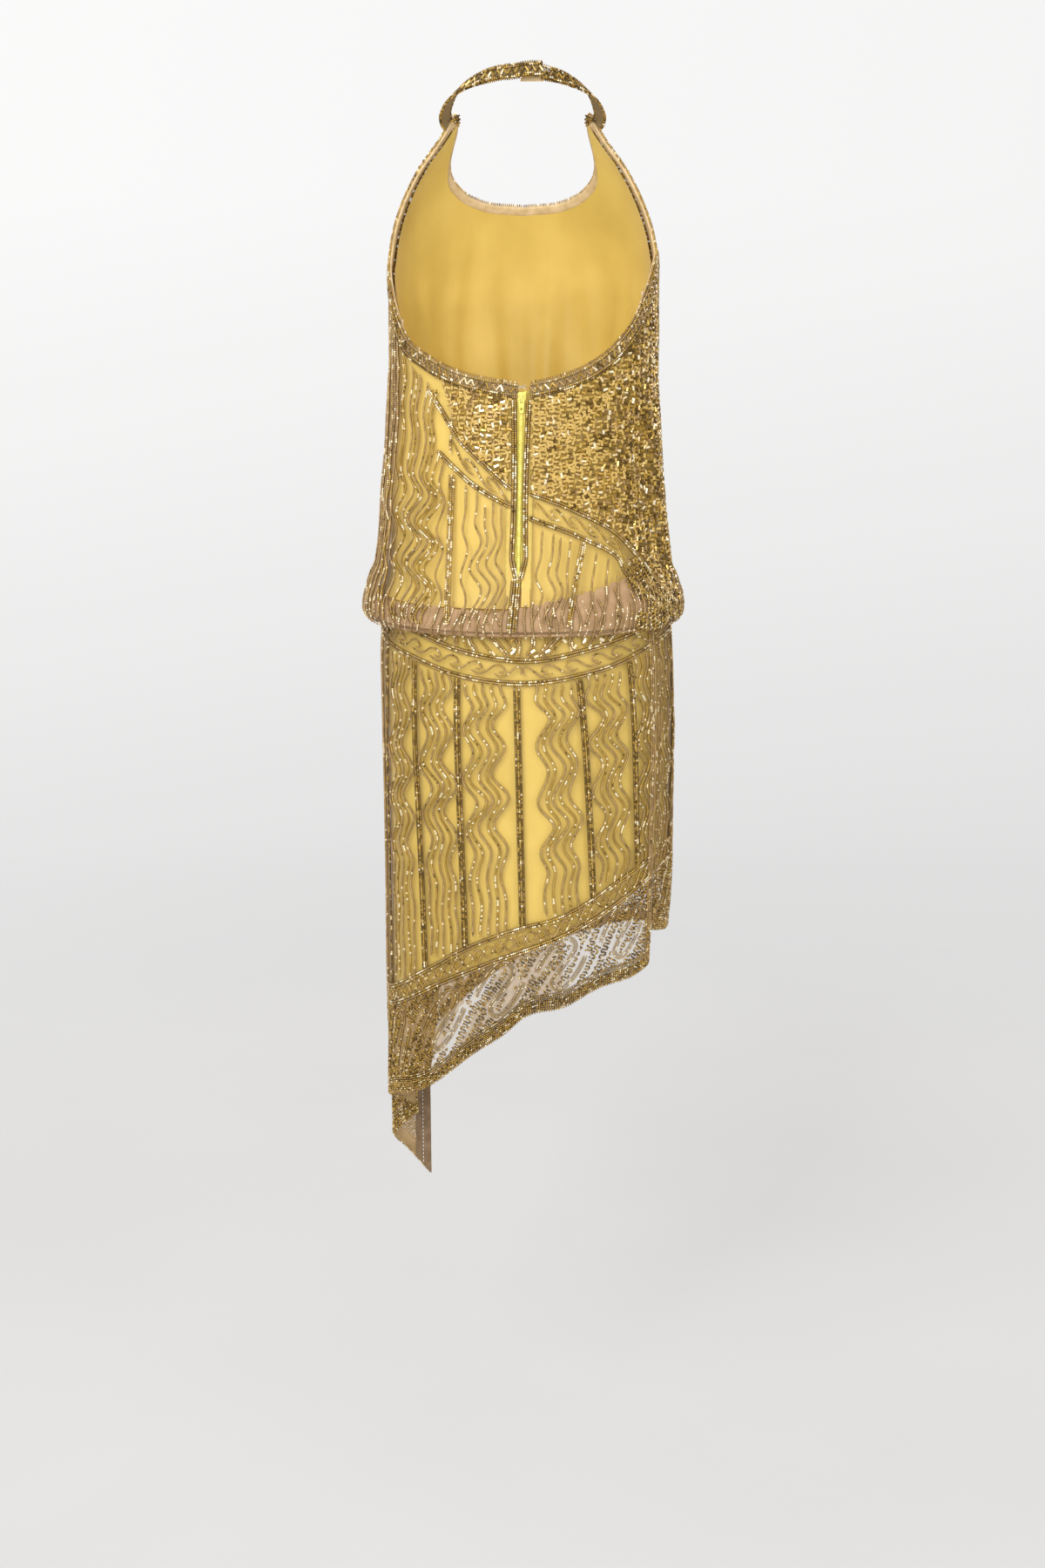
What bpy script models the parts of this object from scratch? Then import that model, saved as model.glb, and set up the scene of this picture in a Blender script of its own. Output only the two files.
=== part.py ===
"""Flapper dress: a beaded halter dress with an open back, a bloused bodice and a slanted hem, hollow as when worn.

Metres. +Z is up, +Y is the wearer's front and +X the wearer's right. The origin is on the inner face of the
halter strap at the back of the neck. Places down the cloth are given as a drop, the distance below the origin,
and places round it as an angle from the centre back: positive towards +X, 180 degrees at the centre front.
"""

import math
from collections import namedtuple

import bmesh
import bpy
import numpy as np

# Cloth and gaps
WALL = 0.0012
LINING_WALL = 0.0010
GAP = 0.0003
SIDE_Y = 0.055  # the widest line of every section, level with the middle of the neck
SQUARENESS = 2.3  # exponent of each section's outline: 2 is an ellipse

# Bodice
SIDE_SEAM = 92.0
NECKBAND_WIDTH = 0.014
NECKBAND_THICK = 0.0014
FACING_THICK = 0.0010
FOLD_DROP = 0.532  # where the bodice starts to turn under
SEAM_DROP = 0.516  # the dropped waist seam, inside the fold
SEAM_CLEAR = 2 * WALL + 3 * GAP  # from the skirt's inner face to that of the turned-under bodice
LINING_INSET_TOP = 0.0036
LINING_INSET_LOW = 0.0136
LINING_SLOPE_FROM = 0.38
CORNER_OUT = 111.0  # the halter's two corners, where the strap starts
CORNER_IN = 121.0
BACK_COLUMNS = [12, 20, 28, 36, 44, 51, 57, 62, 67, 72, 78, 84]  # the angles of the panels' columns of points
FRONT_COLUMNS = [SIDE_SEAM, 96, 99, 102, 105, 108, CORNER_OUT, 116, CORNER_IN, 124, 128, 134, 142, 151, 160, 170, 180]

# Zip
ZIP_TOP = 0.300
ZIP_LOW = 0.489
ZIP_X_TOP = -0.001
ZIP_X_LOW = -0.0044
ZIP_HALF_GAP = 0.0052
CHAIN_HALF = 0.0020
TAPE_WIDTH = 0.0105
SLIDER_DROP = 0.3065
TAPE_CLEAR = 0.0007
SLIDER_BACK = 0.0008  # from the bodice cloth's inner face out to the slider
SLIDER_THICK = 0.0022
PIN_OUT = SLIDER_BACK + SLIDER_THICK + 0.0010  # from the same face out to the axis that the pull turns on
PULL_LENGTH = 0.0150
PULL_HALF_THICK = 0.0005
CROWN_CLEAR = 0.0011  # from the pull's axis out to the crown's inner face
CROWN_THICK = 0.0009

# Skirt
RIGHT_SEAM = 59.5
LEFT_SEAM = -128.0
CASCADE_FROM = -72.0  # past this angle the back panel's long corner hangs in folds
CASCADE_TOP = 0.985
CASCADE_FULL = 1.085
SKIRT_LINING_INSET = 0.0042

Section = namedtuple("Section", "drop half_width centre back front")
BODICE_SECTIONS = [
    Section(0.030, 0.0780, 0.0000, -0.010, 0.106),
    Section(0.050, 0.0840, 0.0000, -0.028, 0.117),
    Section(0.090, 0.1100, 0.0000, -0.043, 0.141),
    Section(0.140, 0.1290, 0.0005, -0.049, 0.165),
    Section(0.180, 0.1345, 0.0010, -0.050, 0.179),
    Section(0.220, 0.1355, 0.0010, -0.050, 0.186),
    Section(0.260, 0.1360, 0.0012, -0.050, 0.185),
    Section(0.300, 0.1368, 0.0018, -0.050, 0.180),
    Section(0.354, 0.1390, 0.0022, -0.052, 0.175),
    Section(0.408, 0.1435, 0.0013, -0.057, 0.172),
    Section(0.463, 0.1485, 0.0020, -0.065, 0.172),
    Section(0.500, 0.1550, 0.0012, -0.074, 0.175),
    Section(0.522, 0.1620, 0.0010, -0.083, 0.179),
    Section(0.532, 0.1625, 0.0005, -0.085, 0.180),
]
SKIRT_SECTIONS = [
    Section(0.516, 0.1475, 0.0030, -0.0720, 0.1640),
    Section(0.545, 0.1505, 0.0040, -0.0750, 0.1665),
    Section(0.580, 0.1525, 0.0045, -0.0785, 0.1675),
    Section(0.640, 0.1527, 0.0050, -0.0825, 0.1645),
    Section(0.720, 0.1524, 0.0052, -0.0815, 0.1585),
    Section(0.830, 0.1522, 0.0052, -0.0775, 0.1545),
    Section(0.930, 0.1515, 0.0040, -0.0740, 0.1515),
    Section(1.030, 0.1495, 0.0030, -0.0720, 0.1495),
    Section(1.200, 0.1475, 0.0015, -0.0690, 0.1465),
]

# The bodice's lower end turns under and back up to the seam: share goes from the bodice's section to the skirt's.
Turn = namedtuple("Turn", "run drop share")
BLOUSE_TURN = [
    Turn(0.0000, 0.5320, 0.00),
    Turn(0.0060, 0.5375, 0.10),
    Turn(0.0115, 0.5405, 0.36),
    Turn(0.0155, 0.5400, 0.62),
    Turn(0.0220, 0.5345, 0.84),
    Turn(0.0300, 0.5270, 0.95),
    Turn(0.0410, 0.5163, 1.00),
]

# Edges that go round the dress, as the drop at each angle
Edge = namedtuple("Edge", "angle drop")
NECK_EDGE_LEFT = [
    Edge(0, 0.2940),
    Edge(20, 0.2885),
    Edge(35, 0.2810),
    Edge(50, 0.2660),
    Edge(60, 0.2520),
    Edge(67, 0.2330),
    Edge(75, 0.2060),
    Edge(84, 0.1820),
    Edge(92, 0.1680),
    Edge(96, 0.1520),
    Edge(100, 0.1320),
    Edge(104, 0.1080),
    Edge(108, 0.0780),
    Edge(CORNER_OUT, 0.0500),
    Edge(CORNER_IN, 0.0440),
    Edge(126, 0.0660),
    Edge(132, 0.0880),
    Edge(142, 0.1070),
    Edge(155, 0.1190),
    Edge(180, 0.1250),
]
NECK_EDGE_RIGHT = [
    Edge(0, 0.2940),
    Edge(20, 0.2855),
    Edge(35, 0.2730),
    Edge(48, 0.2530),
    Edge(58, 0.2290),
    Edge(65, 0.2050),
    Edge(74, 0.1800),
    Edge(84, 0.1670),
] + NECK_EDGE_LEFT[8:]
BACK_HEM = [
    Edge(-128, 1.195),
    Edge(-110, 1.140),
    Edge(-90, 1.090),
    Edge(-72, 1.066),
    Edge(-47, 1.038),
    Edge(-23.5, 0.989),
    Edge(-10, 0.966),
    Edge(-2, 0.949),
    Edge(18, 0.936),
    Edge(32.5, 0.919),
    Edge(51, 0.912),
    Edge(60, 0.905),
]
FRONT_HEM = [
    Edge(59, 0.867),
    Edge(90, 0.888),
    Edge(120, 0.905),
    Edge(150, 0.930),
    Edge(180, 0.955),
    Edge(210, 0.990),
    Edge(233, 1.030),
]
SKIRT_LINING_HEM = [
    Edge(-180, 0.885),
    Edge(-150, 0.925),
    Edge(-128, 0.960),
    Edge(-90, 0.990),
    Edge(-72, 0.975),
    Edge(-45, 0.925),
    Edge(-20, 0.888),
    Edge(0, 0.870),
    Edge(20, 0.852),
    Edge(36, 0.836),
    Edge(58, 0.815),
    Edge(90, 0.812),
    Edge(120, 0.825),
    Edge(150, 0.852),
    Edge(180, 0.885),
]

# Soft vertical folds: ridges have a height above 0 and troughs below. Spread is their half width in degrees.
Crease = namedtuple("Crease", "angle_top angle_low top low spread height")
BODICE_CREASES = [
    Crease(-72, -75, 0.32, 0.54, 4.5, 0.0030),
    Crease(-83, -85, 0.27, 0.54, 4.5, 0.0035),
    Crease(-95, -97, 0.25, 0.53, 5.5, 0.0040),
    Crease(-83, -84, 0.48, 0.56, 16.0, 0.0045),
    Crease(56, 64, 0.31, 0.50, 6.0, -0.0040),
    Crease(68, 75, 0.29, 0.53, 6.0, 0.0045),
    Crease(86, 90, 0.25, 0.52, 5.0, -0.0030),
    Crease(82, 82, 0.48, 0.56, 14.0, 0.0050),
    Crease(110, 108, 0.22, 0.54, 6.0, 0.0045),
    Crease(126, 125, 0.24, 0.54, 6.0, -0.0040),
    Crease(146, 147, 0.21, 0.54, 7.0, 0.0050),
    Crease(168, 165, 0.24, 0.53, 6.0, -0.0035),
    Crease(-172, -174, 0.23, 0.54, 6.0, 0.0040),
    Crease(-150, -152, 0.21, 0.54, 7.0, 0.0050),
    Crease(-130, -129, 0.25, 0.54, 6.0, -0.0040),
    Crease(-113, -114, 0.22, 0.53, 6.0, 0.0040),
]
SKIRT_CREASES = [
    Crease(-66, -60, 0.60, 1.06, 8.0, 0.0030),
    Crease(-40, -44, 0.64, 1.02, 9.0, -0.0025),
    Crease(12, 8, 0.66, 0.96, 12.0, 0.0020),
    Crease(36, 40, 0.60, 0.92, 8.0, -0.0025),
    Crease(80, 84, 0.58, 0.90, 8.0, 0.0030),
    Crease(108, 112, 0.60, 0.92, 8.0, -0.0040),
    Crease(134, 138, 0.58, 0.95, 9.0, 0.0045),
    Crease(168, 172, 0.60, 0.98, 9.0, -0.0040),
    Crease(-162, -158, 0.60, 1.00, 9.0, 0.0040),
]

# The plan of the long corner's hanging folds, from the side towards its free edge
Bend = namedtuple("Bend", "inset y")
CASCADE_PLAN = [
    Bend(0.0066, 0.0083),
    Bend(0.0000, 0.0270),
    Bend(0.0125, 0.0375),
    Bend(0.0300, 0.0405),
    Bend(0.0155, 0.0490),
    Bend(0.0015, 0.0590),
    Bend(0.0175, 0.0690),
    Bend(0.0420, 0.0760),
]

# The halter strap's middle line on its inner face, from the back of the neck to the halter's corner, and the
# direction across it from its lower to its upper edge
Station = namedtuple("Station", "x y z across_x across_y across_z")
STRAP_HALF_WIDTH = 0.0072
STRAP_THICK = 0.0018
STRAP_STATIONS = [
    Station(0.0220, 0.0010, 0.0008, 0.05, 0.50, 0.86),
    Station(0.0400, 0.0105, -0.0035, -0.25, 0.50, 0.83),
    Station(0.0560, 0.0245, -0.0105, -0.55, 0.40, 0.73),
    Station(0.0685, 0.0420, -0.0200, -0.72, 0.25, 0.64),
    Station(0.0755, 0.0620, -0.0310, -0.75, 0.35, 0.55),
    Station(0.0765, 0.0780, -0.0400, -0.66, 0.62, 0.42),
]
STRAP_LAP = [  # the left strap's end, which goes on past the centre back and lies over the underlap
    Station(-0.0200, -0.0034, 0.0046, 0.05, 0.42, 0.90),
    Station(-0.0060, -0.0044, 0.0042, 0.00, 0.40, 0.91),
    Station(0.0080, -0.0036, 0.0022, 0.00, 0.45, 0.89),
]

Finish = namedtuple("Finish", "colour roughness metallic")
FINISHES = {
    "beaded_net": Finish((0.46, 0.33, 0.16), 0.45, 0.3),
    "bead_band": Finish((0.42, 0.30, 0.13), 0.35, 0.5),
    "lining": Finish((0.75, 0.52, 0.14), 0.6, 0.0),
    "facing": Finish((0.66, 0.50, 0.28), 0.7, 0.0),
    "underlap": Finish((0.62, 0.50, 0.33), 0.7, 0.0),
    "stay_tab": Finish((0.80, 0.62, 0.52), 0.6, 0.0),
    "zip_tape": Finish((0.80, 0.68, 0.08), 0.7, 0.0),
    "zip_metal": Finish((0.78, 0.70, 0.15), 0.4, 0.2),
    "hook_wire": Finish((0.55, 0.55, 0.55), 0.35, 0.9),
}


def through(knots, values, at):
    """Values between knots, on a smooth curve that goes through each of them."""
    knots = np.asarray(knots, float)
    values = np.asarray(values, float)
    at = np.asarray(at, float)
    slopes = np.gradient(values, knots)
    low = np.clip(np.searchsorted(knots, at, side="right") - 1, 0, len(knots) - 2)
    span = knots[low + 1] - knots[low]
    t = np.clip((at - knots[low]) / span, 0.0, 1.0)
    keep = 1 - t * t * (3 - 2 * t)
    lead = t * (1 - t) ** 2 * span
    trail = t * t * (t - 1) * span
    return keep * values[low] + (1 - keep) * values[low + 1] + lead * slopes[low] + trail * slopes[low + 1]


def column(rows, name):
    return [getattr(row, name) for row in rows]


def ease(share):
    """0 to 1 with a soft start and end."""
    share = np.clip(share, 0.0, 1.0)
    return share * share * (3 - 2 * share)


def edge_drop(edge, angle):
    """The drop of an edge at angles in degrees."""
    return through(column(edge, "angle"), column(edge, "drop"), angle)


def ring(sections, angle, drop, relief=0.0, grow=0.0):
    """Points on the sections' outlines. The angle is in radians, and relief and grow add to the radius."""
    half, centre, back, front = (
        through(column(sections, "drop"), column(sections, name), drop)
        for name in ("half_width", "centre", "back", "front")
    )
    sine, cosine = np.sin(angle), np.cos(angle)
    depth = np.where(cosine > 0, SIDE_Y - back, front - SIDE_Y) + grow
    power = np.abs(sine / (half + grow)) ** SQUARENESS + np.abs(cosine / depth) ** SQUARENESS
    radius = power ** (-1 / SQUARENESS) + relief
    return np.stack([centre + radius * sine, SIDE_Y - radius * cosine, -drop + 0 * radius], axis=-1)


def creased(creases, angle, drop):
    """How far the soft folds lift the cloth."""
    lift = 0 * (angle + drop)
    for fold in creases:
        along = np.clip((drop - fold.top) / (fold.low - fold.top), 0.0, 1.0)
        middle = np.radians(fold.angle_top + (fold.angle_low - fold.angle_top) * along)
        away = (angle - middle + math.pi) % (2 * math.pi) - math.pi
        fade = ease(4 * along) * ease(4 * (1 - along))
        lift = lift + fold.height * fade * np.exp(-((away / math.radians(fold.spread)) ** 2))
    return lift


def bodice(angle, course):
    """The bodice cloth's inner face. Course is the drop down to the turn, and goes on along the cloth past it."""
    run = np.maximum(course - FOLD_DROP, 0.0)
    turned = through(column(BLOUSE_TURN, "run"), column(BLOUSE_TURN, "drop"), run)
    share = through(column(BLOUSE_TURN, "run"), column(BLOUSE_TURN, "share"), run)[..., None]
    relief = creased(BODICE_CREASES, angle, np.minimum(course, FOLD_DROP)) * (1 - share[..., 0])
    outside = ring(BODICE_SECTIONS, angle, np.minimum(course, FOLD_DROP), relief)
    inside = ring(SKIRT_SECTIONS, angle, turned, grow=SEAM_CLEAR)
    point = outside * (1 - share) + inside * share
    point[..., 2] = -np.where(run > 0, turned, course)
    return point


def cascade(share):
    """The hanging folds' plan, at shares of the way to the free edge."""
    plan = np.array(CASCADE_PLAN)
    reach = np.concatenate([[0], np.cumsum(np.hypot(*np.diff(plan, axis=0).T))])
    reach = reach / reach[-1]
    return through(reach, plan[:, 0], share), through(reach, plan[:, 1], share)


def skirt(angle, drop):
    """The skirt cloth's inner face."""
    return ring(SKIRT_SECTIONS, angle, drop, creased(SKIRT_CREASES, angle, drop))


def skirt_back(angle, drop):
    """The back panel: its long corner, past the side, hangs in folds at its lower end."""
    point = skirt(angle, drop)
    start, end = math.radians(CASCADE_FROM), math.radians(LEFT_SEAM)
    share = (start - angle) / (start - end)
    inset, y = cascade(np.clip(share, 0.0, 1.0))
    side = ring(SKIRT_SECTIONS, np.full_like(angle, -math.pi / 2), drop)[..., 0]
    begin = ring(SKIRT_SECTIONS, np.full_like(angle, start), drop)
    hung = np.stack([side + inset, y + begin[..., 1] - CASCADE_PLAN[0].y, point[..., 2]], axis=-1)
    weight = ease((drop - CASCADE_TOP) / (CASCADE_FULL - CASCADE_TOP)) * ease(share / 0.12)
    return point + (hung - point) * weight[..., None]


def moved_out(surface, angle, course, distance):
    """Points of a surface moved along its outward normal."""
    step = 1e-4
    round_it = surface(angle + step, course) - surface(angle - step, course)
    down_it = surface(angle, course + step) - surface(angle, course - step)
    normal = np.cross(down_it, round_it)
    normal /= np.linalg.norm(normal, axis=-1, keepdims=True)
    return surface(angle, course) + normal * np.asarray(distance)[..., None]


def material(name):
    """The material of a finish, made once."""
    made = bpy.data.materials.get(name)
    if made:
        return made
    finish = FINISHES[name]
    made = bpy.data.materials.new(name)
    made.use_nodes = True
    shader = made.node_tree.nodes["Principled BSDF"]
    shader.inputs["Base Color"].default_value = (*finish.colour, 1.0)
    shader.inputs["Roughness"].default_value = finish.roughness
    shader.inputs["Metallic"].default_value = finish.metallic
    return made


def new_object(name, points, faces, finish, at=(0.0, 0.0, 0.0)):
    """An object from points in the dress's frame, with its own origin at a given place."""
    mesh = bpy.data.meshes.new(name)
    moved = [tuple(float(value - start) for value, start in zip(point, at)) for point in points]
    mesh.from_pydata(moved, [], faces)
    mesh.materials.append(material(finish))
    mesh.shade_smooth()
    mesh.set_sharp_from_angle(angle=math.radians(50))
    made = bpy.data.objects.new(name, mesh)
    made.location = at
    bpy.context.scene.collection.objects.link(made)
    return made


def cloth(name, outer, inner, finish, closed=False):
    """A wall between two grids of rows and columns, closed at its rims. A closed one joins its last column to its first."""
    rows, columns = outer.shape[:2]
    size = rows * columns
    faces = []

    def quad(a, b, c, d):
        faces.append((a, b, c))
        faces.append((a, c, d))

    last = columns if closed else columns - 1
    for row in range(rows - 1):
        for here in range(last):
            beside = (here + 1) % columns
            a, b = row * columns + here, (row + 1) * columns + here
            c, d = (row + 1) * columns + beside, row * columns + beside
            quad(a, b, c, d)
            faces.append((size + a, size + c, size + b))
            faces.append((size + a, size + d, size + c))
    low = (rows - 1) * columns
    for here in range(last):
        beside = (here + 1) % columns
        quad(here, beside, size + beside, size + here)
        quad(low + here, size + low + here, size + low + beside, low + beside)
    if not closed:
        for row in range(rows - 1):
            a, b = row * columns, (row + 1) * columns
            quad(a, size + a, size + b, b)
            a, b = a + columns - 1, b + columns - 1
            quad(a, b, size + b, size + a)
    points = np.concatenate([outer.reshape(-1, 3), inner.reshape(-1, 3)])
    return new_object(name, points, faces, finish)


def wall_on(name, surface, angle, course, low, high, finish, closed=False):
    """A wall on a surface, from low to high above the surface's own face."""
    outer = moved_out(surface, angle, course, np.full(angle.shape, high))
    inner = moved_out(surface, angle, course, np.full(angle.shape, low))
    return cloth(name, outer, inner, finish, closed)


# Bodice


def neck_edge(angle):
    """The drop of the bodice's upper edge at angles in radians."""
    degrees = np.degrees(angle)
    left = edge_drop(NECK_EDGE_LEFT, np.abs(degrees))
    right = edge_drop(NECK_EDGE_RIGHT, np.abs(degrees))
    return np.where(degrees < 0, left, right)


def band_drop(angle):
    """How far down a column the neckband reaches, so that it is as wide across the slanted edge as along a level one."""
    step = math.radians(1.0)
    before, after = (bodice(angle + side, neck_edge(angle + side)) for side in (-step, step))
    along = after - before
    slope = np.abs(along[..., 2]) / np.hypot(along[..., 0], along[..., 1])
    return NECKBAND_WIDTH * np.minimum(np.hypot(1.0, slope), 3.2)


def edge_courses(angle):
    """The courses of the band along the upper edge, which the panel, the neckband and the facing share."""
    return neck_edge(angle) + np.array([[0.0], [0.5], [1.0]]) * band_drop(angle)


def zip_middle(drop):
    """The zip's middle line in x."""
    share = (drop - ZIP_TOP) / (ZIP_LOW - ZIP_TOP)
    return ZIP_X_TOP + (ZIP_X_LOW - ZIP_X_TOP) * np.clip(share, 0.0, 1.3)


def angle_of_x(x, drop):
    """The angle, close to the centre back, where the bodice has this x."""
    centre = through(column(BODICE_SECTIONS, "drop"), column(BODICE_SECTIONS, "centre"), drop)
    back = through(column(BODICE_SECTIONS, "drop"), column(BODICE_SECTIONS, "back"), drop)
    return np.arctan2(x - centre, SIDE_Y - back)


def bodice_courses(angle):
    """The courses of a column of bodice points: the band's two edges, the body, and the turned-under end."""
    edge = edge_courses(angle)
    body = edge[-1] + np.linspace(0.0, 1.0, 10)[1:, None] * (FOLD_DROP - edge[-1])
    turn = FOLD_DROP + np.array([0.005, 0.0095, 0.0135, 0.019, 0.028, 0.041])[:, None] + 0 * angle
    return np.concatenate([edge, body, turn])


def back_panel(name, side):
    """Half of the bodice's back, from the zip to the side seam. Side is 1 at the wearer's right and -1 at the left."""
    edge = np.radians(np.array([3.0] + BACK_COLUMNS + [SIDE_SEAM])) * side
    edge[-1] -= side * GAP / 2 / 0.14
    course = bodice_courses(edge)
    angle = np.tile(edge, (len(course), 1))
    drop = np.minimum(course[:, 0], FOLD_DROP)
    gap = np.where(course[:, 0] > ZIP_LOW + 0.006, GAP / 2, ZIP_HALF_GAP)
    angle[:, 0] = angle_of_x(zip_middle(drop) + side * gap, drop)
    return wall_on(name, bodice, angle[:, ::side], course[:, ::side], 0.0, WALL, "beaded_net")


def front_angles(clear):
    """The front panel's columns, from the right side seam round to the left one."""
    half = np.array(FRONT_COLUMNS)
    angle = np.radians(np.concatenate([half, 360 - half[-2::-1]]))
    angle[0] += clear
    angle[-1] -= clear
    return angle


def front_edge_angle(angle):
    """An angle past the centre front as the negative angle that the edge tables use."""
    return (angle + math.pi) % (2 * math.pi) - math.pi


def front_panel():
    angle = front_angles(GAP / 2 / 0.14)
    course = bodice_courses(front_edge_angle(angle))
    return wall_on(
        "bodice_front", bodice, np.tile(angle, (len(course), 1)), course, 0.0, WALL, "beaded_net"
    )


def edge_strip(name, side, from_zip, low, high, finish):
    """A strip all along one side's upper edge, from the zip to the centre front: the neckband or the facing."""
    angle = np.radians(np.array([3.0] + BACK_COLUMNS + FRONT_COLUMNS)) * side
    angle[0] = angle_of_x(zip_middle(ZIP_TOP) + side * from_zip, ZIP_TOP)
    angle[-1] -= side * GAP / 2 / 0.13
    course = edge_courses(angle)
    angle = np.tile(angle, (len(course), 1))
    return wall_on(name, bodice, angle[:, ::side], course[:, ::side], low, high, finish)


def bodice_lining_face(angle, drop):
    """The bodice lining's outer face: inside the bodice, and in to the skirt's width at the seam."""
    slope = ease((drop - LINING_SLOPE_FROM) / (SEAM_DROP - LINING_SLOPE_FROM))
    relief = creased(BODICE_CREASES, angle, drop) * (1 - slope)
    inset = LINING_INSET_TOP + (LINING_INSET_LOW - LINING_INSET_TOP) * slope
    return ring(BODICE_SECTIONS, angle, drop, relief - inset)


def bodice_lining():
    """The lining of the whole bodice, open down the centre back for the zip."""
    back = np.array([0.0, 12, 24, 36, 48, 58, 67, 76, 84])
    half = np.concatenate([back, [SIDE_SEAM, 98, 104, 108, CORNER_OUT, 116, CORNER_IN, 126, 134, 146, 158, 170]])
    edge = np.radians(np.concatenate([half, [180.0], 360 - half[::-1]]))
    open_half = 0.0085
    edge[0] = angle_of_x(zip_middle(0.30) + open_half, 0.30)
    edge[-1] = 2 * math.pi + angle_of_x(zip_middle(0.30) - open_half, 0.30)
    signed = front_edge_angle(edge)
    top = neck_edge(signed) + 0.6 * band_drop(signed)
    share = np.array([0, 0.05, 0.14, 0.26, 0.40, 0.54, 0.67, 0.79, 0.90, 1.0])[:, None]
    course = top + (SEAM_DROP - 3 * GAP - top) * share
    angle = np.tile(edge, (len(course), 1))
    return wall_on("bodice_lining", bodice_lining_face, angle, course, -LINING_WALL, 0.0, "lining")


# Halter strap


def strap_grids(stations, side):
    """A strap's outer and inner points: a row across each station, and a last row on the halter's own edge."""
    offsets = np.array([-1.0, 0.0, 1.0]) * STRAP_HALF_WIDTH
    rows_in, rows_out = [], []
    middles = np.array([[s.x, s.y, s.z] for s in stations])
    across = np.array([[s.across_x, s.across_y, s.across_z] for s in stations])
    along = np.gradient(middles, axis=0)
    for middle, over, way in zip(middles, across, along):
        over = over / np.linalg.norm(over)
        outward = np.cross(over, way)
        outward *= np.sign(outward @ (middle - np.array([0.0, SIDE_Y, -0.05]))) / np.linalg.norm(outward)
        row = middle + offsets[:, None] * over
        rows_in.append(row)
        rows_out.append(row + outward * STRAP_THICK)
    angle = np.radians([CORNER_OUT, 0.5 * (CORNER_OUT + CORNER_IN), CORNER_IN])
    course = neck_edge(angle) - GAP
    rows_in.append(moved_out(bodice, angle, course, np.zeros(3)))
    rows_out.append(moved_out(bodice, angle, course, np.full(3, STRAP_THICK)))
    inner, outer = np.array(rows_in), np.array(rows_out)
    inner[..., 0] *= side
    outer[..., 0] *= side
    return outer, inner


def strap(name, side):
    """One side's strap. The left one goes on past the centre back, over the underlap."""
    stations = STRAP_STATIONS if side > 0 else STRAP_LAP + STRAP_STATIONS
    outer, inner = strap_grids(stations, side)
    return cloth(name, outer[:, ::side], inner[:, ::side], "bead_band")


def strap_underlap():
    """The plain end of the right strap, which the left one hooks over. The neck carries the dress on its inner face."""
    left, right = -0.002, 0.0205
    low, high = -0.0065, 0.0045
    x = np.linspace(left, right, 4)
    inner = np.array([[[place, 0.0, high], [place, 0.0, low]] for place in x]).transpose(1, 0, 2)
    outer = inner + np.array([0.0, -LINING_WALL, 0.0])
    return cloth("strap_underlap", outer, inner, "underlap")


# Hardware


def tube(name, path, radius, finish, sides=6):
    """A wire along a path, with flat ends."""
    path = np.array(path, float)
    along = np.gradient(path, axis=0)
    along /= np.linalg.norm(along, axis=1, keepdims=True)
    first = np.cross(along, np.array([0.0, 1.0, 0.0]))
    first /= np.linalg.norm(first, axis=1, keepdims=True)
    second = np.cross(along, first)
    turn = np.arange(sides) * 2 * math.pi / sides
    points = (
        path[:, None]
        + radius * np.cos(turn)[None, :, None] * first[:, None]
        + radius * np.sin(turn)[None, :, None] * second[:, None]
    )
    faces = [tuple(range(sides))[::-1], tuple(range((len(path) - 1) * sides, len(path) * sides))]
    for step in range(len(path) - 1):
        for side in range(sides):
            beside = (side + 1) % sides
            here = step * sides
            faces.append((here + side, here + beside, here + sides + beside, here + sides + side))
    return new_object(name, points.reshape(-1, 3), faces, finish)


def wire_loop(name, centre, length, half_width, way):
    """A hook's or an eye's wire: a long loop in the cloth's plane, open at its sewn end."""
    turn = np.linspace(-0.5 * math.pi, 0.5 * math.pi, 9)
    bow = [(length + half_width * (math.cos(t) - 1), half_width * math.sin(t)) for t in turn]
    outline = [(0.0, -half_width)] + bow + [(0.0, half_width)]
    path = [(centre[0] + way * out, centre[1], centre[2] + up) for out, up in outline]
    return tube(name, path, 0.0004, "hook_wire")


def zip_strip(name, x_from, x_to, top, low, below, above, finish):
    """A strip that follows the zip's middle line, between two offsets from it in x."""
    drop = np.linspace(top, low, 9)[:, None] + np.zeros((1, 2))
    x = zip_middle(drop) + np.array([[x_from, x_to]])
    return wall_on(name, bodice, angle_of_x(x, drop), drop, below, above, finish)


def box(bm, low, high):
    """A block between two corners, added to a mesh."""
    low, high = np.array(low), np.array(high)
    corners = [bm.verts.new(tuple(np.where(pick, high, low))) for pick in np.ndindex(2, 2, 2)]
    for face in ((0, 1, 3, 2), (4, 6, 7, 5), (0, 4, 5, 1), (2, 3, 7, 6), (0, 2, 6, 4), (1, 5, 7, 3)):
        bm.faces.new([corners[i] for i in face])


def helper(name, low, high):
    """A block that a Boolean joins to another piece or cuts from it."""
    bm = bmesh.new()
    box(bm, low, high)
    mesh = bpy.data.meshes.new(name)
    bm.to_mesh(mesh)
    bm.free()
    made = bpy.data.objects.new(name, mesh)
    made.hide_render = True
    made.display_type = "WIRE"
    bpy.context.scene.collection.objects.link(made)
    return made


def boolean(made, other, operation):
    step = made.modifiers.new(operation.lower() + "_" + other.name, "BOOLEAN")
    step.operation = operation
    step.object = other


def slider_place():
    """The point on the bodice's face behind the slider's pin."""
    angle = angle_of_x(zip_middle(SLIDER_DROP), SLIDER_DROP)
    return bodice(np.array([angle]), np.array([SLIDER_DROP]))[0]


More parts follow.
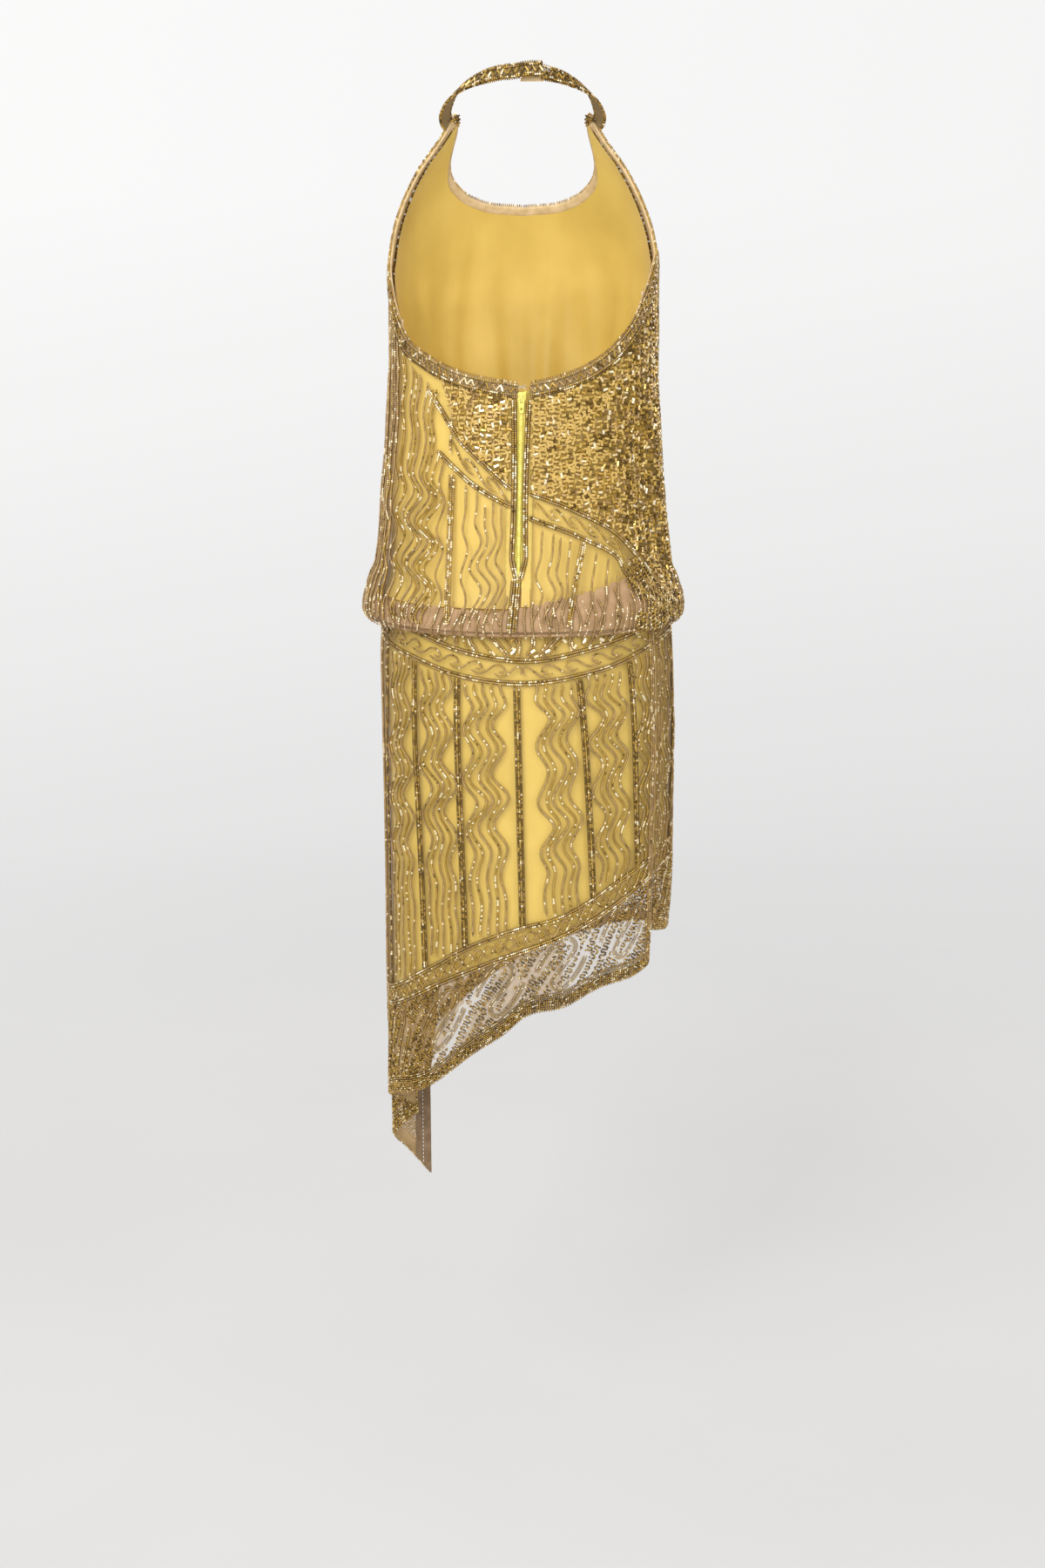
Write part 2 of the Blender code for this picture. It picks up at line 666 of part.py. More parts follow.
def zip_slider():
    """The slider: a tapered plate that narrows downwards, and a crown for the pull's pin."""
    x, y, z = slider_place()
    near, far = y - SLIDER_BACK, y - SLIDER_BACK - SLIDER_THICK
    half_outline = [(0.0044, 0.0052), (0.0042, -0.0010), (0.0028, -0.0052)]
    outline = [(-px, pz) for px, pz in half_outline[::-1]] + half_outline
    count = len(outline)
    points = [(x + px, near, z + pz) for px, pz in outline] + [(x + px, far, z + pz) for px, pz in outline]
    faces = [tuple(range(count)), tuple(range(2 * count - 1, count - 1, -1))]
    faces += [(i, count + i, count + (i + 1) % count, (i + 1) % count) for i in range(count)]
    slider = new_object("zip_slider", points, faces, "zip_metal")
    half = 0.0008
    crown_in = y - PIN_OUT - CROWN_CLEAR
    crown_out = crown_in - CROWN_THICK
    low, high = z - 0.0040, z + 0.0036
    blocks = {
        "crown_foot_top": ((x - half, crown_out, z + 0.0026), (x + half, far + 0.0006, high)),
        "crown_foot_low": ((x - half, crown_out, low), (x + half, far + 0.0006, z - 0.0030)),
        "crown_bar": ((x - half, crown_out, low), (x + half, crown_in, high)),
    }
    for name, corners in blocks.items():
        boolean(slider, helper(name, *corners), "UNION")


def zip_pull():
    """The pull tab, which hangs through the slider's crown. Its origin is on the line that it turns about."""
    x, y, z = slider_place()
    axis = (x, y - PIN_OUT, z)
    outline = [
        (-0.0027, 0.0008),
        (0.0027, 0.0008),
        (0.0027, -0.0060),
        (0.0021, -PULL_LENGTH + 0.0010),
        (0.0012, -PULL_LENGTH),
        (-0.0012, -PULL_LENGTH),
        (-0.0021, -PULL_LENGTH + 0.0010),
        (-0.0027, -0.0060),
    ]
    half = PULL_HALF_THICK
    count = len(outline)
    points = [(x + px, axis[1] + half, z + pz) for px, pz in outline]
    points += [(x + px, axis[1] - half, z + pz) for px, pz in outline]
    faces = [tuple(range(count)), tuple(range(2 * count - 1, count - 1, -1))]
    faces += [(i, count + i, count + (i + 1) % count, (i + 1) % count) for i in range(count)]
    pull = new_object("zip_pull", points, faces, "zip_metal", at=axis)
    for name, width, low, high in (("pull_window", 0.0014, -0.0054, -0.0008), ("pull_hole", 0.0011, -0.0122, -0.0100)):
        cutter = helper(name, (x - width, axis[1] - 0.002, z + low), (x + width, axis[1] + 0.002, z + high))
        boolean(pull, cutter, "DIFFERENCE")


def stay_tab(name, side, degrees, below_edge):
    """A small ribbon tab sewn inside the neck edge, on the facing."""
    half = 0.0030
    reach = 0.0065
    middle = math.radians(degrees) * side
    angle = middle + np.array([[-1, 0, 1]]) * half / 0.14 + np.zeros((3, 1))
    top = neck_edge(np.array([middle]))[0] + below_edge
    course = top + np.array([[0.0], [0.5], [1.0]]) * reach + np.zeros((1, 3))
    high = -(GAP + FACING_THICK + GAP)
    return wall_on(name, bodice, angle, course, high - 0.0010, high, "stay_tab")


# Skirt


SKIRT_SHARES = np.array([0, 0.045, 0.10, 0.18, 0.28, 0.38, 0.48, 0.58, 0.67, 0.75, 0.81, 0.86, 0.905, 0.95, 1.0])


def skirt_panel(name, surface, degrees, hem):
    """A skirt panel from the seam to its slanted hem."""
    angle = np.radians(degrees)
    low = edge_drop(hem, degrees)
    course = SEAM_DROP + SKIRT_SHARES[:, None] * (low - SEAM_DROP)
    return wall_on(name, surface, np.tile(angle, (len(course), 1)), course, 0.0, WALL, "beaded_net")


def skirt_back_panel():
    folded = np.linspace(LEFT_SEAM, CASCADE_FROM, 19)
    plain = np.linspace(CASCADE_FROM, RIGHT_SEAM, 22)[1:]
    degrees = np.concatenate([folded, plain])
    clear = math.degrees(GAP / 2 / 0.15)
    degrees[0] += clear
    degrees[-1] -= clear
    return skirt_panel("skirt_back", skirt_back, degrees, BACK_HEM)


def skirt_front_panel():
    degrees = np.linspace(RIGHT_SEAM, 360 + LEFT_SEAM, 27)
    clear = math.degrees(GAP / 2 / 0.15)
    degrees[0] += clear
    degrees[-1] -= clear
    return skirt_panel("skirt_front", skirt, degrees, FRONT_HEM)


def skirt_lining_face(angle, drop):
    """The skirt lining's outer face."""
    relief = creased(SKIRT_CREASES, angle, drop) - SKIRT_LINING_INSET * ease((drop - 0.50) / 0.06)
    return ring(SKIRT_SECTIONS, angle, drop, relief - GAP)


def skirt_lining():
    degrees = np.linspace(-180, 180, 41)[:-1]
    low = edge_drop(SKIRT_LINING_HEM, degrees)
    share = np.array([0, 0.05, 0.13, 0.24, 0.38, 0.52, 0.66, 0.80, 0.91, 1.0])[:, None]
    top = SEAM_DROP + 2 * GAP
    course = top + share * (low - top)
    angle = np.tile(np.radians(degrees), (len(course), 1))
    return wall_on("skirt_lining", skirt_lining_face, angle, course, -LINING_WALL, 0.0, "lining", closed=True)


def hooks():
    """A hook and its eye at the neck, and another pair above the zip."""
    back = bodice(np.array([0.0]), np.array([0.298]))[0][1] - 0.0006
    x = float(zip_middle(0.298))
    wire_loop("back_hook", (x - 0.0046, back, -0.2965), 0.0044, 0.0010, 1)
    wire_loop("back_eye", (x + 0.0046, back, -0.2965), 0.0032, 0.0014, -1)
    wire_loop("neck_hook", (0.0196, -0.0078, 0.0040), 0.0026, 0.0010, 1)
    wire_loop("neck_eye", (0.0266, -0.0078, 0.0040), 0.0026, 0.0014, -1)


def clear_scene():
    for old in list(bpy.data.objects):
        bpy.data.objects.remove(old)


def build():
    clear_scene()
    back_panel("bodice_back_left", -1)
    back_panel("bodice_back_right", 1)
    front_panel()
    band_low = WALL + GAP
    facing_from = CHAIN_HALF + TAPE_WIDTH + 2 * GAP
    for name, side in (("left", -1), ("right", 1)):
        edge_strip("neckband_" + name, side, ZIP_HALF_GAP, band_low, band_low + NECKBAND_THICK, "bead_band")
        edge_strip("neck_facing_" + name, side, facing_from, -GAP - FACING_THICK, -GAP, "facing")
        strap("strap_" + name, side)
    bodice_lining()
    strap_underlap()
    stay_tab("stay_tab_left", -1, 68, 0.004)
    stay_tab("stay_tab_right", 1, 66, 0.004)
    inner, outer = CHAIN_HALF + GAP, CHAIN_HALF + GAP + TAPE_WIDTH
    tape_low = -TAPE_CLEAR - LINING_WALL
    zip_strip("zip_tape_left", -outer, -inner, ZIP_TOP, ZIP_LOW + 0.005, tape_low, -TAPE_CLEAR, "zip_tape")
    zip_strip("zip_tape_right", inner, outer, ZIP_TOP, ZIP_LOW + 0.005, tape_low, -TAPE_CLEAR, "zip_tape")
    zip_strip("zip_chain", -CHAIN_HALF, CHAIN_HALF, SLIDER_DROP + 0.0056, ZIP_LOW, -0.0012, 0.0008, "zip_metal")
    zip_slider()
    zip_pull()
    hooks()
    skirt_back_panel()
    skirt_front_panel()
    skirt_lining()


build()
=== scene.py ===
"""Looks of a beaded halter dress: sheer net sewn with glass beads, over a golden lining.

Metres, in the frame's own axes: +Z up, +Y the wearer's front, +X the wearer's right. A place on the cloth is
an angle from the centre back, positive towards +X, and a drop below the neck.
"""

import math
from collections import namedtuple

import bpy
import numpy as np
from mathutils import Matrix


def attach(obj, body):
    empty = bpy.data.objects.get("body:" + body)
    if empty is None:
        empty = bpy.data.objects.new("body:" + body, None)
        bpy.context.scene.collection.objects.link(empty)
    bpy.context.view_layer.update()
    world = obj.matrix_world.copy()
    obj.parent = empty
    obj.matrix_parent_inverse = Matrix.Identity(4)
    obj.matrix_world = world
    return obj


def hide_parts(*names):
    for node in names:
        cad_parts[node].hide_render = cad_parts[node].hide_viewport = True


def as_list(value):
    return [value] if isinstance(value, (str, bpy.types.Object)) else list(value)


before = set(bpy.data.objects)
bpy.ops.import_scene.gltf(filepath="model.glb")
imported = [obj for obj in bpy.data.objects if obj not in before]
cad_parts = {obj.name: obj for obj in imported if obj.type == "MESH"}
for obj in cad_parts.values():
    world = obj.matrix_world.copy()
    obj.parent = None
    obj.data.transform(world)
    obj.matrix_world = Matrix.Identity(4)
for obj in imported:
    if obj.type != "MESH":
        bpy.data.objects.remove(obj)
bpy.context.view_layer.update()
RANDOM = np.random.default_rng(11)

# The cloth's form
SIDE_Y = 0.055
SQUARENESS = 2.3
SIDE_SEAM = 92.0
NECKBAND_WIDTH = 0.014
FOLD_DROP = 0.532
SEAM_DROP = 0.516
SEAM_CLEAR = 0.0033
LINING_INSET_TOP = 0.0036
LINING_INSET_LOW = 0.0136
LINING_SLOPE_FROM = 0.38
CORNER_OUT = 111.0
CORNER_IN = 121.0
ZIP_TOP = 0.300
ZIP_LOW = 0.489
ZIP_X_TOP = -0.001
ZIP_X_LOW = -0.0044
ZIP_HALF_GAP = 0.0052
RIGHT_SEAM = 59.5
LEFT_SEAM = -128.0
CASCADE_FROM = -72.0
CASCADE_TOP = 0.985
CASCADE_FULL = 1.085
SKIRT_LINING_INSET = 0.0042
LINING_HALF = 0.0005  # half of its thickness
STEEPEST_BAND = 3.2
SEAM_GAP = 0.0003
NET_LIFT = 0.0006  # the net lies in the middle of its solid wall
BEAD_LIFT = 0.0018

FLOOR_Z = -1.66
HANDS = (("left", -1), ("right", 1))


def table(kind, *rows):
    """Rows of numbers under the named columns of their kind."""
    return [kind(*row) for row in rows]


Section = namedtuple("Section", "drop half_width centre back front")
BODICE_SECTIONS = table(
    Section,
    (0.03, 0.078, 0.0, -0.01, 0.106), (0.05, 0.084, 0.0, -0.028, 0.117), (0.09, 0.11, 0.0, -0.043, 0.141),
    (0.14, 0.129, 0.0005, -0.049, 0.165), (0.18, 0.1345, 0.001, -0.05, 0.179),
    (0.22, 0.1355, 0.001, -0.05, 0.186), (0.26, 0.136, 0.0012, -0.05, 0.185),
    (0.3, 0.1368, 0.0018, -0.05, 0.18), (0.354, 0.139, 0.0022, -0.052, 0.175),
    (0.408, 0.1435, 0.0013, -0.057, 0.172), (0.463, 0.1485, 0.002, -0.065, 0.172),
    (0.5, 0.155, 0.0012, -0.074, 0.175), (0.522, 0.162, 0.001, -0.083, 0.179),
    (0.532, 0.1625, 0.0005, -0.085, 0.18),
)
SKIRT_SECTIONS = table(
    Section,
    (0.516, 0.1475, 0.003, -0.072, 0.164), (0.545, 0.1505, 0.004, -0.075, 0.1665),
    (0.58, 0.1525, 0.0045, -0.0785, 0.1675), (0.64, 0.1527, 0.005, -0.0825, 0.1645),
    (0.72, 0.1524, 0.0052, -0.0815, 0.1585), (0.83, 0.1522, 0.0052, -0.0775, 0.1545),
    (0.93, 0.1515, 0.004, -0.074, 0.1515), (1.03, 0.1495, 0.003, -0.072, 0.1495),
    (1.2, 0.1475, 0.0015, -0.069, 0.1465),
)
Turn = namedtuple("Turn", "run drop share")
BLOUSE_TURN = table(
    Turn,
    (0.0, 0.532, 0.0), (0.006, 0.5375, 0.1), (0.0115, 0.5405, 0.36), (0.0155, 0.54, 0.62),
    (0.022, 0.5345, 0.84), (0.03, 0.527, 0.95), (0.041, 0.5163, 1.0),
)
Edge = namedtuple("Edge", "angle drop")
NECK_EDGE_LEFT = table(
    Edge,
    (0, 0.294), (20, 0.2885), (35, 0.281), (50, 0.266), (60, 0.252), (67, 0.233), (75, 0.206), (84, 0.182),
    (92, 0.168), (96, 0.152), (100, 0.132), (104, 0.108), (108, 0.078), (CORNER_OUT, 0.05),
    (CORNER_IN, 0.044), (126, 0.066), (132, 0.088), (142, 0.107), (155, 0.119), (180, 0.125),
)
NECK_EDGE_RIGHT = table(
    Edge,
    (0, 0.294), (20, 0.2855), (35, 0.273), (48, 0.253), (58, 0.229), (65, 0.205), (74, 0.18), (84, 0.167),
) + NECK_EDGE_LEFT[8:]
BACK_HEM = table(
    Edge,
    (-128, 1.195), (-110, 1.14), (-90, 1.09), (-72, 1.066), (-47, 1.038), (-23.5, 0.989), (-10, 0.966),
    (-2, 0.949), (18, 0.936), (32.5, 0.919), (51, 0.912), (60, 0.905),
)
FRONT_HEM = table(
    Edge,
    (59, 0.867), (90, 0.888), (120, 0.905), (150, 0.93), (180, 0.955), (210, 0.99), (233, 1.03),
)
SKIRT_LINING_HEM = table(
    Edge,
    (-180, 0.885), (-150, 0.925), (-128, 0.96), (-90, 0.982), (-72, 0.967), (-45, 0.925), (-20, 0.89),
    (0, 0.873), (20, 0.855), (36, 0.836), (58, 0.811), (90, 0.806), (120, 0.82), (150, 0.85), (180, 0.885),
)
# The slanted band over the lining's hem. Angles go on from -128 at the left seam right round to 232.
HEM_BAND_TOP = table(
    Edge,
    (-128, 0.96), (-100, 0.953), (-66, 0.936), (-44, 0.901), (-26, 0.872), (-2, 0.848), (13.5, 0.838),
    (39, 0.807), (58, 0.785), (90, 0.778), (120, 0.792), (150, 0.822), (180, 0.858), (210, 0.905),
    (232, 0.94),
)
HEM_BAND_LOW = table(
    Edge,
    (-128, 0.978), (-100, 0.975), (-66, 0.956), (-40, 0.917), (-17, 0.888), (0, 0.872), (12, 0.861),
    (37, 0.833), (59, 0.805), (90, 0.799), (120, 0.813), (150, 0.844), (180, 0.88), (210, 0.926),
    (232, 0.96),
)
YOKE_TOP = table(
    Edge,
    (-180, 0.548), (-90, 0.535), (-53, 0.541), (-27, 0.558), (0, 0.566), (33, 0.553), (70, 0.533),
    (120, 0.54), (180, 0.548),
)
YOKE_LOW = table(
    Edge,
    (-180, 0.578), (-90, 0.556), (-54, 0.567), (-27, 0.583), (0, 0.5885), (30, 0.578), (70, 0.553),
    (120, 0.566), (180, 0.578),
)

Crease = namedtuple("Crease", "angle_top angle_low top low spread height")
BODICE_CREASES = table(
    Crease,
    (-72, -75, 0.32, 0.54, 4.5, 0.003), (-83, -85, 0.27, 0.54, 4.5, 0.0035),
    (-95, -97, 0.25, 0.53, 5.5, 0.004), (-83, -84, 0.48, 0.56, 16.0, 0.0045),
    (56, 64, 0.31, 0.5, 6.0, -0.004), (68, 75, 0.29, 0.53, 6.0, 0.0045), (86, 90, 0.25, 0.52, 5.0, -0.003),
    (82, 82, 0.48, 0.56, 14.0, 0.005), (110, 108, 0.22, 0.54, 6.0, 0.0045),
    (126, 125, 0.24, 0.54, 6.0, -0.004), (146, 147, 0.21, 0.54, 7.0, 0.005),
    (168, 165, 0.24, 0.53, 6.0, -0.0035), (-172, -174, 0.23, 0.54, 6.0, 0.004),
    (-150, -152, 0.21, 0.54, 7.0, 0.005), (-130, -129, 0.25, 0.54, 6.0, -0.004),
    (-113, -114, 0.22, 0.53, 6.0, 0.004),
)
SKIRT_CREASES = table(
    Crease,
    (-66, -60, 0.6, 1.06, 8.0, 0.003), (-40, -44, 0.64, 1.02, 9.0, -0.0025),
    (12, 8, 0.66, 0.96, 12.0, 0.002), (36, 40, 0.6, 0.92, 8.0, -0.0025), (80, 84, 0.58, 0.9, 8.0, 0.003),
    (108, 112, 0.6, 0.92, 8.0, -0.004), (134, 138, 0.58, 0.95, 9.0, 0.0045),
    (168, 172, 0.6, 0.98, 9.0, -0.004), (-162, -158, 0.6, 1.0, 9.0, 0.004),
)
# Small soft creases that only the shells have
LINING_RIPPLES = table(
    Crease,
    (199, 188, 0.13, 0.5, 5.0, -0.0046), (212, 218, 0.15, 0.52, 3.6, -0.0038),
    (164, 173, 0.13, 0.48, 4.4, -0.0044), (149, 143, 0.15, 0.52, 3.4, -0.0036),
    (182, 180, 0.18, 0.52, 3.0, -0.003), (130, 136, 0.16, 0.5, 4.0, -0.004),
    (231, 224, 0.16, 0.5, 4.2, -0.004), (207, 199, 0.12, 0.4, 2.6, 0.0013),
    (157, 161, 0.13, 0.42, 2.6, 0.0013), (118, 121, 0.18, 0.48, 3.4, -0.0034),
    (243, 240, 0.18, 0.48, 3.4, -0.0034),
)
BODICE_RIPPLES = table(
    Crease,
    (-66, -64, 0.3, 0.5, 1.8, -0.0014), (-78, -79, 0.26, 0.52, 1.7, -0.0018),
    (-89, -90, 0.24, 0.52, 2.0, -0.0018), (-52, -49, 0.36, 0.52, 3.0, 0.001),
    (49, 55, 0.3, 0.44, 2.2, 0.0012), (62, 70, 0.34, 0.52, 2.2, -0.0015), (78, 80, 0.28, 0.5, 2.2, 0.0014),
    (118, 117, 0.3, 0.52, 2.4, 0.0014), (137, 136, 0.26, 0.5, 2.4, -0.0013),
    (157, 156, 0.3, 0.53, 2.6, 0.0014), (-161, -163, 0.28, 0.52, 2.4, -0.0014),
    (-140, -141, 0.3, 0.53, 2.4, 0.0013), (-121, -121, 0.26, 0.5, 2.4, 0.0012),
    (30, 26, 0.47, 0.56, 1.4, 0.0009), (20, 18, 0.48, 0.56, 1.2, -0.0009), (8, 7, 0.49, 0.56, 1.2, 0.0008),
    (-14, -15, 0.49, 0.56, 1.3, 0.0009), (-25, -27, 0.48, 0.56, 1.3, -0.0008),
    (-38, -40, 0.48, 0.56, 1.5, 0.001), (42, 40, 0.47, 0.56, 1.5, -0.001),
)
SKIRT_RIPPLES = table(
    Crease,
    (-56, -54, 0.62, 0.9, 3.0, 0.0007), (-12, -14, 0.64, 0.88, 3.4, -0.0006), (2, 0, 0.6, 0.86, 3.0, 0.0005),
    (28, 32, 0.6, 0.84, 3.4, 0.0008), (52, 53, 0.58, 0.8, 2.6, -0.0008), (96, 98, 0.6, 0.84, 3.0, 0.001),
    (122, 125, 0.62, 0.86, 3.2, -0.0009), (152, 154, 0.6, 0.88, 3.0, 0.001),
    (-148, -146, 0.62, 0.92, 3.0, -0.0009),
)
Bend = namedtuple("Bend", "inset y")
CASCADE_PLAN = table(
    Bend,
    (0.0066, 0.0083), (0.0, 0.027), (0.0125, 0.0375), (0.03, 0.0405), (0.0155, 0.049), (0.0015, 0.059),
    (0.0175, 0.069), (0.042, 0.076),
)
Station = namedtuple("Station", "x y z across_x across_y across_z")
STRAP_HALF_WIDTH = 0.0072
STRAP_STATIONS = table(
    Station,
    (0.022, 0.001, 0.0008, 0.05, 0.5, 0.86), (0.04, 0.0105, -0.0035, -0.25, 0.5, 0.83),
    (0.056, 0.0245, -0.0105, -0.55, 0.4, 0.73), (0.0685, 0.042, -0.02, -0.72, 0.25, 0.64),
    (0.0755, 0.062, -0.031, -0.75, 0.35, 0.55), (0.0765, 0.078, -0.04, -0.66, 0.62, 0.42),
)
STRAP_LAP = table(
    Station,
    (-0.02, -0.0034, 0.0046, 0.05, 0.42, 0.9), (-0.006, -0.0044, 0.0042, 0.0, 0.4, 0.91),
    (0.008, -0.0036, 0.0022, 0.0, 0.45, 0.89),
)
STRAP_UNDER = Station(0.0192, 0.0004, 0.0014, 0.05, 0.5, 0.86)
# The facing's cross-section from its inner lip over the edge: share of the band and height off the cloth
FACING_PROFILE = [
    (0.03, 0.0022), (0.0, 0.0018), (-0.015, 0.0006), (0.02, -0.0006), (0.15, -0.0008), (0.4, -0.0008),
    (0.7, -0.0008), (1.0, -0.0008),
]

# The beads' tones, in the order of the materials on every piece of beadwork
# PAINTED_GLINT beads are painted highlights; SHADE and SOFT_SHADE are strips of thread and painted shade
# under the rows
TAUPE, GOLD, PAINTED_GLINT, BRONZE, HONEY, SHADE, SOFT_SHADE = range(7)
SEED_PITCH = 0.0022
SEED_RADIUS = 0.00118
THREAD_SHADE_PITCH = 0.0048
THREAD_SHADE_DEPTH = 0.0010  # how far the strip of thread and painted shade lies under the beads
WEAVE_THREADS = 2400
TOOTH_PITCH = 0.0011
LENS_LENGTH = 0.0112
HEM_BORDER = 0.0165

# Lines of the beadwork: edges by angle, and lines on the back by x and drop
LINING_EDGE = table(
    Edge,
    (-180, 0.505), (-92, 0.518), (-33, 0.513), (-8, 0.515), (11, 0.506), (30, 0.497), (46, 0.488),
    (75, 0.484), (110, 0.49), (150, 0.5), (180, 0.505),
)
FRONT_SLOPE = table(
    Edge,
    (92, 0.52), (110, 0.505), (140, 0.455), (170, 0.4), (200, 0.345), (230, 0.29), (255, 0.245),
    (268, 0.225),
)
FIELD_EDGE = table(Edge, (-41.5, 0.295), (-36.8, 0.318), (-37.5, 0.345), (-37.5, 0.362))
BAND_UPPER = [
    (-0.094, 0.3), (-0.082, 0.318), (-0.062, 0.349), (-0.041, 0.37), (-0.01, 0.397), (0.009, 0.401),
    (0.048, 0.416), (0.089, 0.438), (0.112, 0.462), (0.133, 0.49), (0.158, 0.52),
]
BAND_LOWER = [
    (-0.085, 0.36), (-0.063, 0.381), (-0.041, 0.398), (-0.009, 0.415), (0.008, 0.425), (0.048, 0.44),
    (0.091, 0.462), (0.105, 0.484), (0.127, 0.507), (0.157, 0.531),
]
BRIGHT_LINES = (
    [(-0.070, 0.383), (-0.073, 0.456), (-0.076, 0.530)],
    [(0.061, 0.449), (0.053, 0.489), (0.046, 0.531)],
)
Row = namedtuple("Row", "x_top top x_low height phase bright")
RIGHT_ROWS = table(
    Row,
    (-0.056, 0.393, -0.06, 0.003, 0.3, 1), (-0.045, 0.4, -0.048, 0.006, 0.9, 3),
    (-0.037, 0.412, -0.04, 0.0066, 1.1, 3), (-0.029, 0.408, -0.031, 0.0062, 1.2, 1),
    (-0.021, 0.413, -0.024, 0.005, 1.5, 1), (0.02, 0.436, 0.013, 0.0045, 0.6, 1),
    (0.031, 0.44, 0.025, 0.0055, 0.8, 3), (0.038, 0.444, 0.033, 0.0052, 0.9, 1),
    (0.048, 0.446, 0.04, 0.002, 1.0, 1), (0.074, 0.46, 0.064, 0.0022, 0.2, 2),
    (0.086, 0.466, 0.08, 0.0028, 0.5, 3), (0.096, 0.482, 0.095, 0.0022, 1.2, 4),
)
LEFT_ROWS = table(
    Row,
    (-0.09, 0.3, -0.104, 0.007, 0.55, 4), (-0.106, 0.282, -0.115, 0.0058, 0.7, 4),
    (-0.117, 0.262, -0.129, 0.004, 0.9, 4), (-0.079, 0.366, -0.085, 0.003, 0.2, 1),
    (-0.0835, 0.36, -0.095, 0.006, 0.5, 3), (-0.086, 0.3, -0.101, 0.0062, 0.6, 3),
    (-0.095, 0.293, -0.106, 0.006, 0.7, 2), (-0.102, 0.286, -0.112, 0.0058, 0.8, 2),
    (-0.109, 0.278, -0.119, 0.005, 1.0, 2), (-0.116, 0.268, -0.127, 0.004, 1.1, 3),
    (-0.123, 0.256, -0.135, 0.003, 1.3, 2), (-0.129, 0.244, -0.143, 0.0018, 1.5, 4),
    (-0.1325, 0.235, -0.1475, 0.001, 1.7, 4),
)
# Bars of the skirt, by their angles at the top and at the foot
BARS = [(-112, -112), (-92, -92), (-49.4, -47.3), (-29.6, -27.7), (-4.5, -2.2), (22.1, 28.7), (44.5, 49.5)]
FRONT_BARS = [(78, 76), (100, 99), (124, 123), (148, 148), (172, 172), (196, 197), (218, 219)]
Waves = namedtuple("Waves", "angle_top angle_low top count spread height period phase fade_from fade_to")
Scroll = namedtuple("Scroll", "angle share length width tilt")
BACK_SCROLLS = table(
    Scroll,
    (-114, 0.45, 0.094, 0.0125, -80), (-88, 0.5, 0.08, 0.0115, -76), (-63, 0.5, 0.07, 0.0105, -70),
    (-38, 0.48, 0.07, 0.0115, -62), (-12, 0.5, 0.056, 0.0135, -60), (16, 0.5, 0.052, 0.014, -58),
    (44, 0.46, 0.058, 0.0145, -60),
)
FRONT_SCROLLS = [Scroll(degrees, 0.5, 0.054, 0.0135, -60) for degrees in range(76, 207, 26)]
# Half of a double hook, in half lengths along and hook widths across. The other half is its mirror.
HOOK = [
    (0.0, 0.0), (0.45, 0.05), (0.8, 0.02), (0.99, -0.25), (1.03, -0.7), (0.88, -1.1), (0.45, -1.32),
    (0.05, -1.38), (-0.4, -1.34), (-0.78, -1.22),
]
# One hook of a running scroll, in motif lengths along and half heights down
RUNNING_HOOK = [
    (-0.22, 0.42), (0.02, 0.68), (0.28, 0.58), (0.52, 0.12), (0.72, -0.44), (0.94, -0.7), (1.14, -0.56),
    (1.24, -0.12), (1.12, 0.22), (0.96, 0.14),
]

FLOOR_RADIUS = 3.4
FLOOR_Y = 0.3  # the middle of the paper disc
CAMERA_PLACE = (0, -2.226, -0.134)
CAMERA_DOWN = 14.6  # degrees below level
# The room's tone by height, and the lights: name, place, what each faces, size and power
ROOM_TONES = ((0.20, 0.72), (0.355, 0.765), (0.432, 0.862), (0.505, 0.94), (0.75, 0.95))
DRESS_MIDDLE = (0, 0.05, -0.5)
SOFTBOXES = (
    ("key", (-1.0, -2.3, 1.0), (0, 0.05, -0.25), (1.0, 1.2), 38),
    ("fill", (1.9, -2.3, 0.3), DRESS_MIDDLE, (1.0, 1.4), 8),
    ("glint_left", (-0.7, -2.5, 0.5), DRESS_MIDDLE, (0.16, 0.16), 6),
    ("glint_right", (1.1, -2.3, 0.1), DRESS_MIDDLE, (0.16, 0.16), 4),
    ("glint_low", (0.2, -2.4, -0.9), DRESS_MIDDLE, (0.16, 0.16), 4),
    ("back_left", (-1.8, 2.4, 0.8), DRESS_MIDDLE, (1.0, 1.4), 20),
    ("back_right", (1.9, 2.3, 0.5), DRESS_MIDDLE, (1.0, 1.4), 16),
)


# Form


def through(knots, values, at):
    """Values between knots, on a smooth curve that goes through each of them."""
    knots, values, at = (np.asarray(given, float) for given in (knots, values, at))
    slopes = np.gradient(values, knots)
    low = np.clip(np.searchsorted(knots, at, side="right") - 1, 0, len(knots) - 2)
    span = knots[low + 1] - knots[low]
    t = np.clip((at - knots[low]) / span, 0.0, 1.0)
    keep = 1 - t * t * (3 - 2 * t)
    lead = t * (1 - t) ** 2 * span
    trail = t * t * (t - 1) * span
    return keep * values[low] + (1 - keep) * values[low + 1] + lead * slopes[low] + trail * slopes[low + 1]


def read(rows, by, name, at):
    """One column of a table, at places along another."""
    return through([getattr(row, by) for row in rows], [getattr(row, name) for row in rows], at)


def edge_drop(edge, degrees):
    return read(edge, "angle", "drop", degrees)


def curve(places, count):
    """Many places on a smooth line through a few, as one array for each coordinate."""
    at = np.linspace(0, len(places) - 1, count)
    return [through(range(len(places)), values, at) for values in np.transpose(places)]


def ease(share):
    share = np.clip(share, 0.0, 1.0)
    return share * share * (3 - 2 * share)


def unit(vectors):
    return vectors / np.linalg.norm(vectors, axis=-1, keepdims=True)


def reach_along(points):
    """How far along a line each of its points is."""
    return np.concatenate([[0], np.cumsum(np.linalg.norm(np.diff(points, axis=0), axis=-1))])


def signed(angle):
    """An angle in radians brought to between -180 and 180 degrees."""
    return (angle + math.pi) % (2 * math.pi) - math.pi


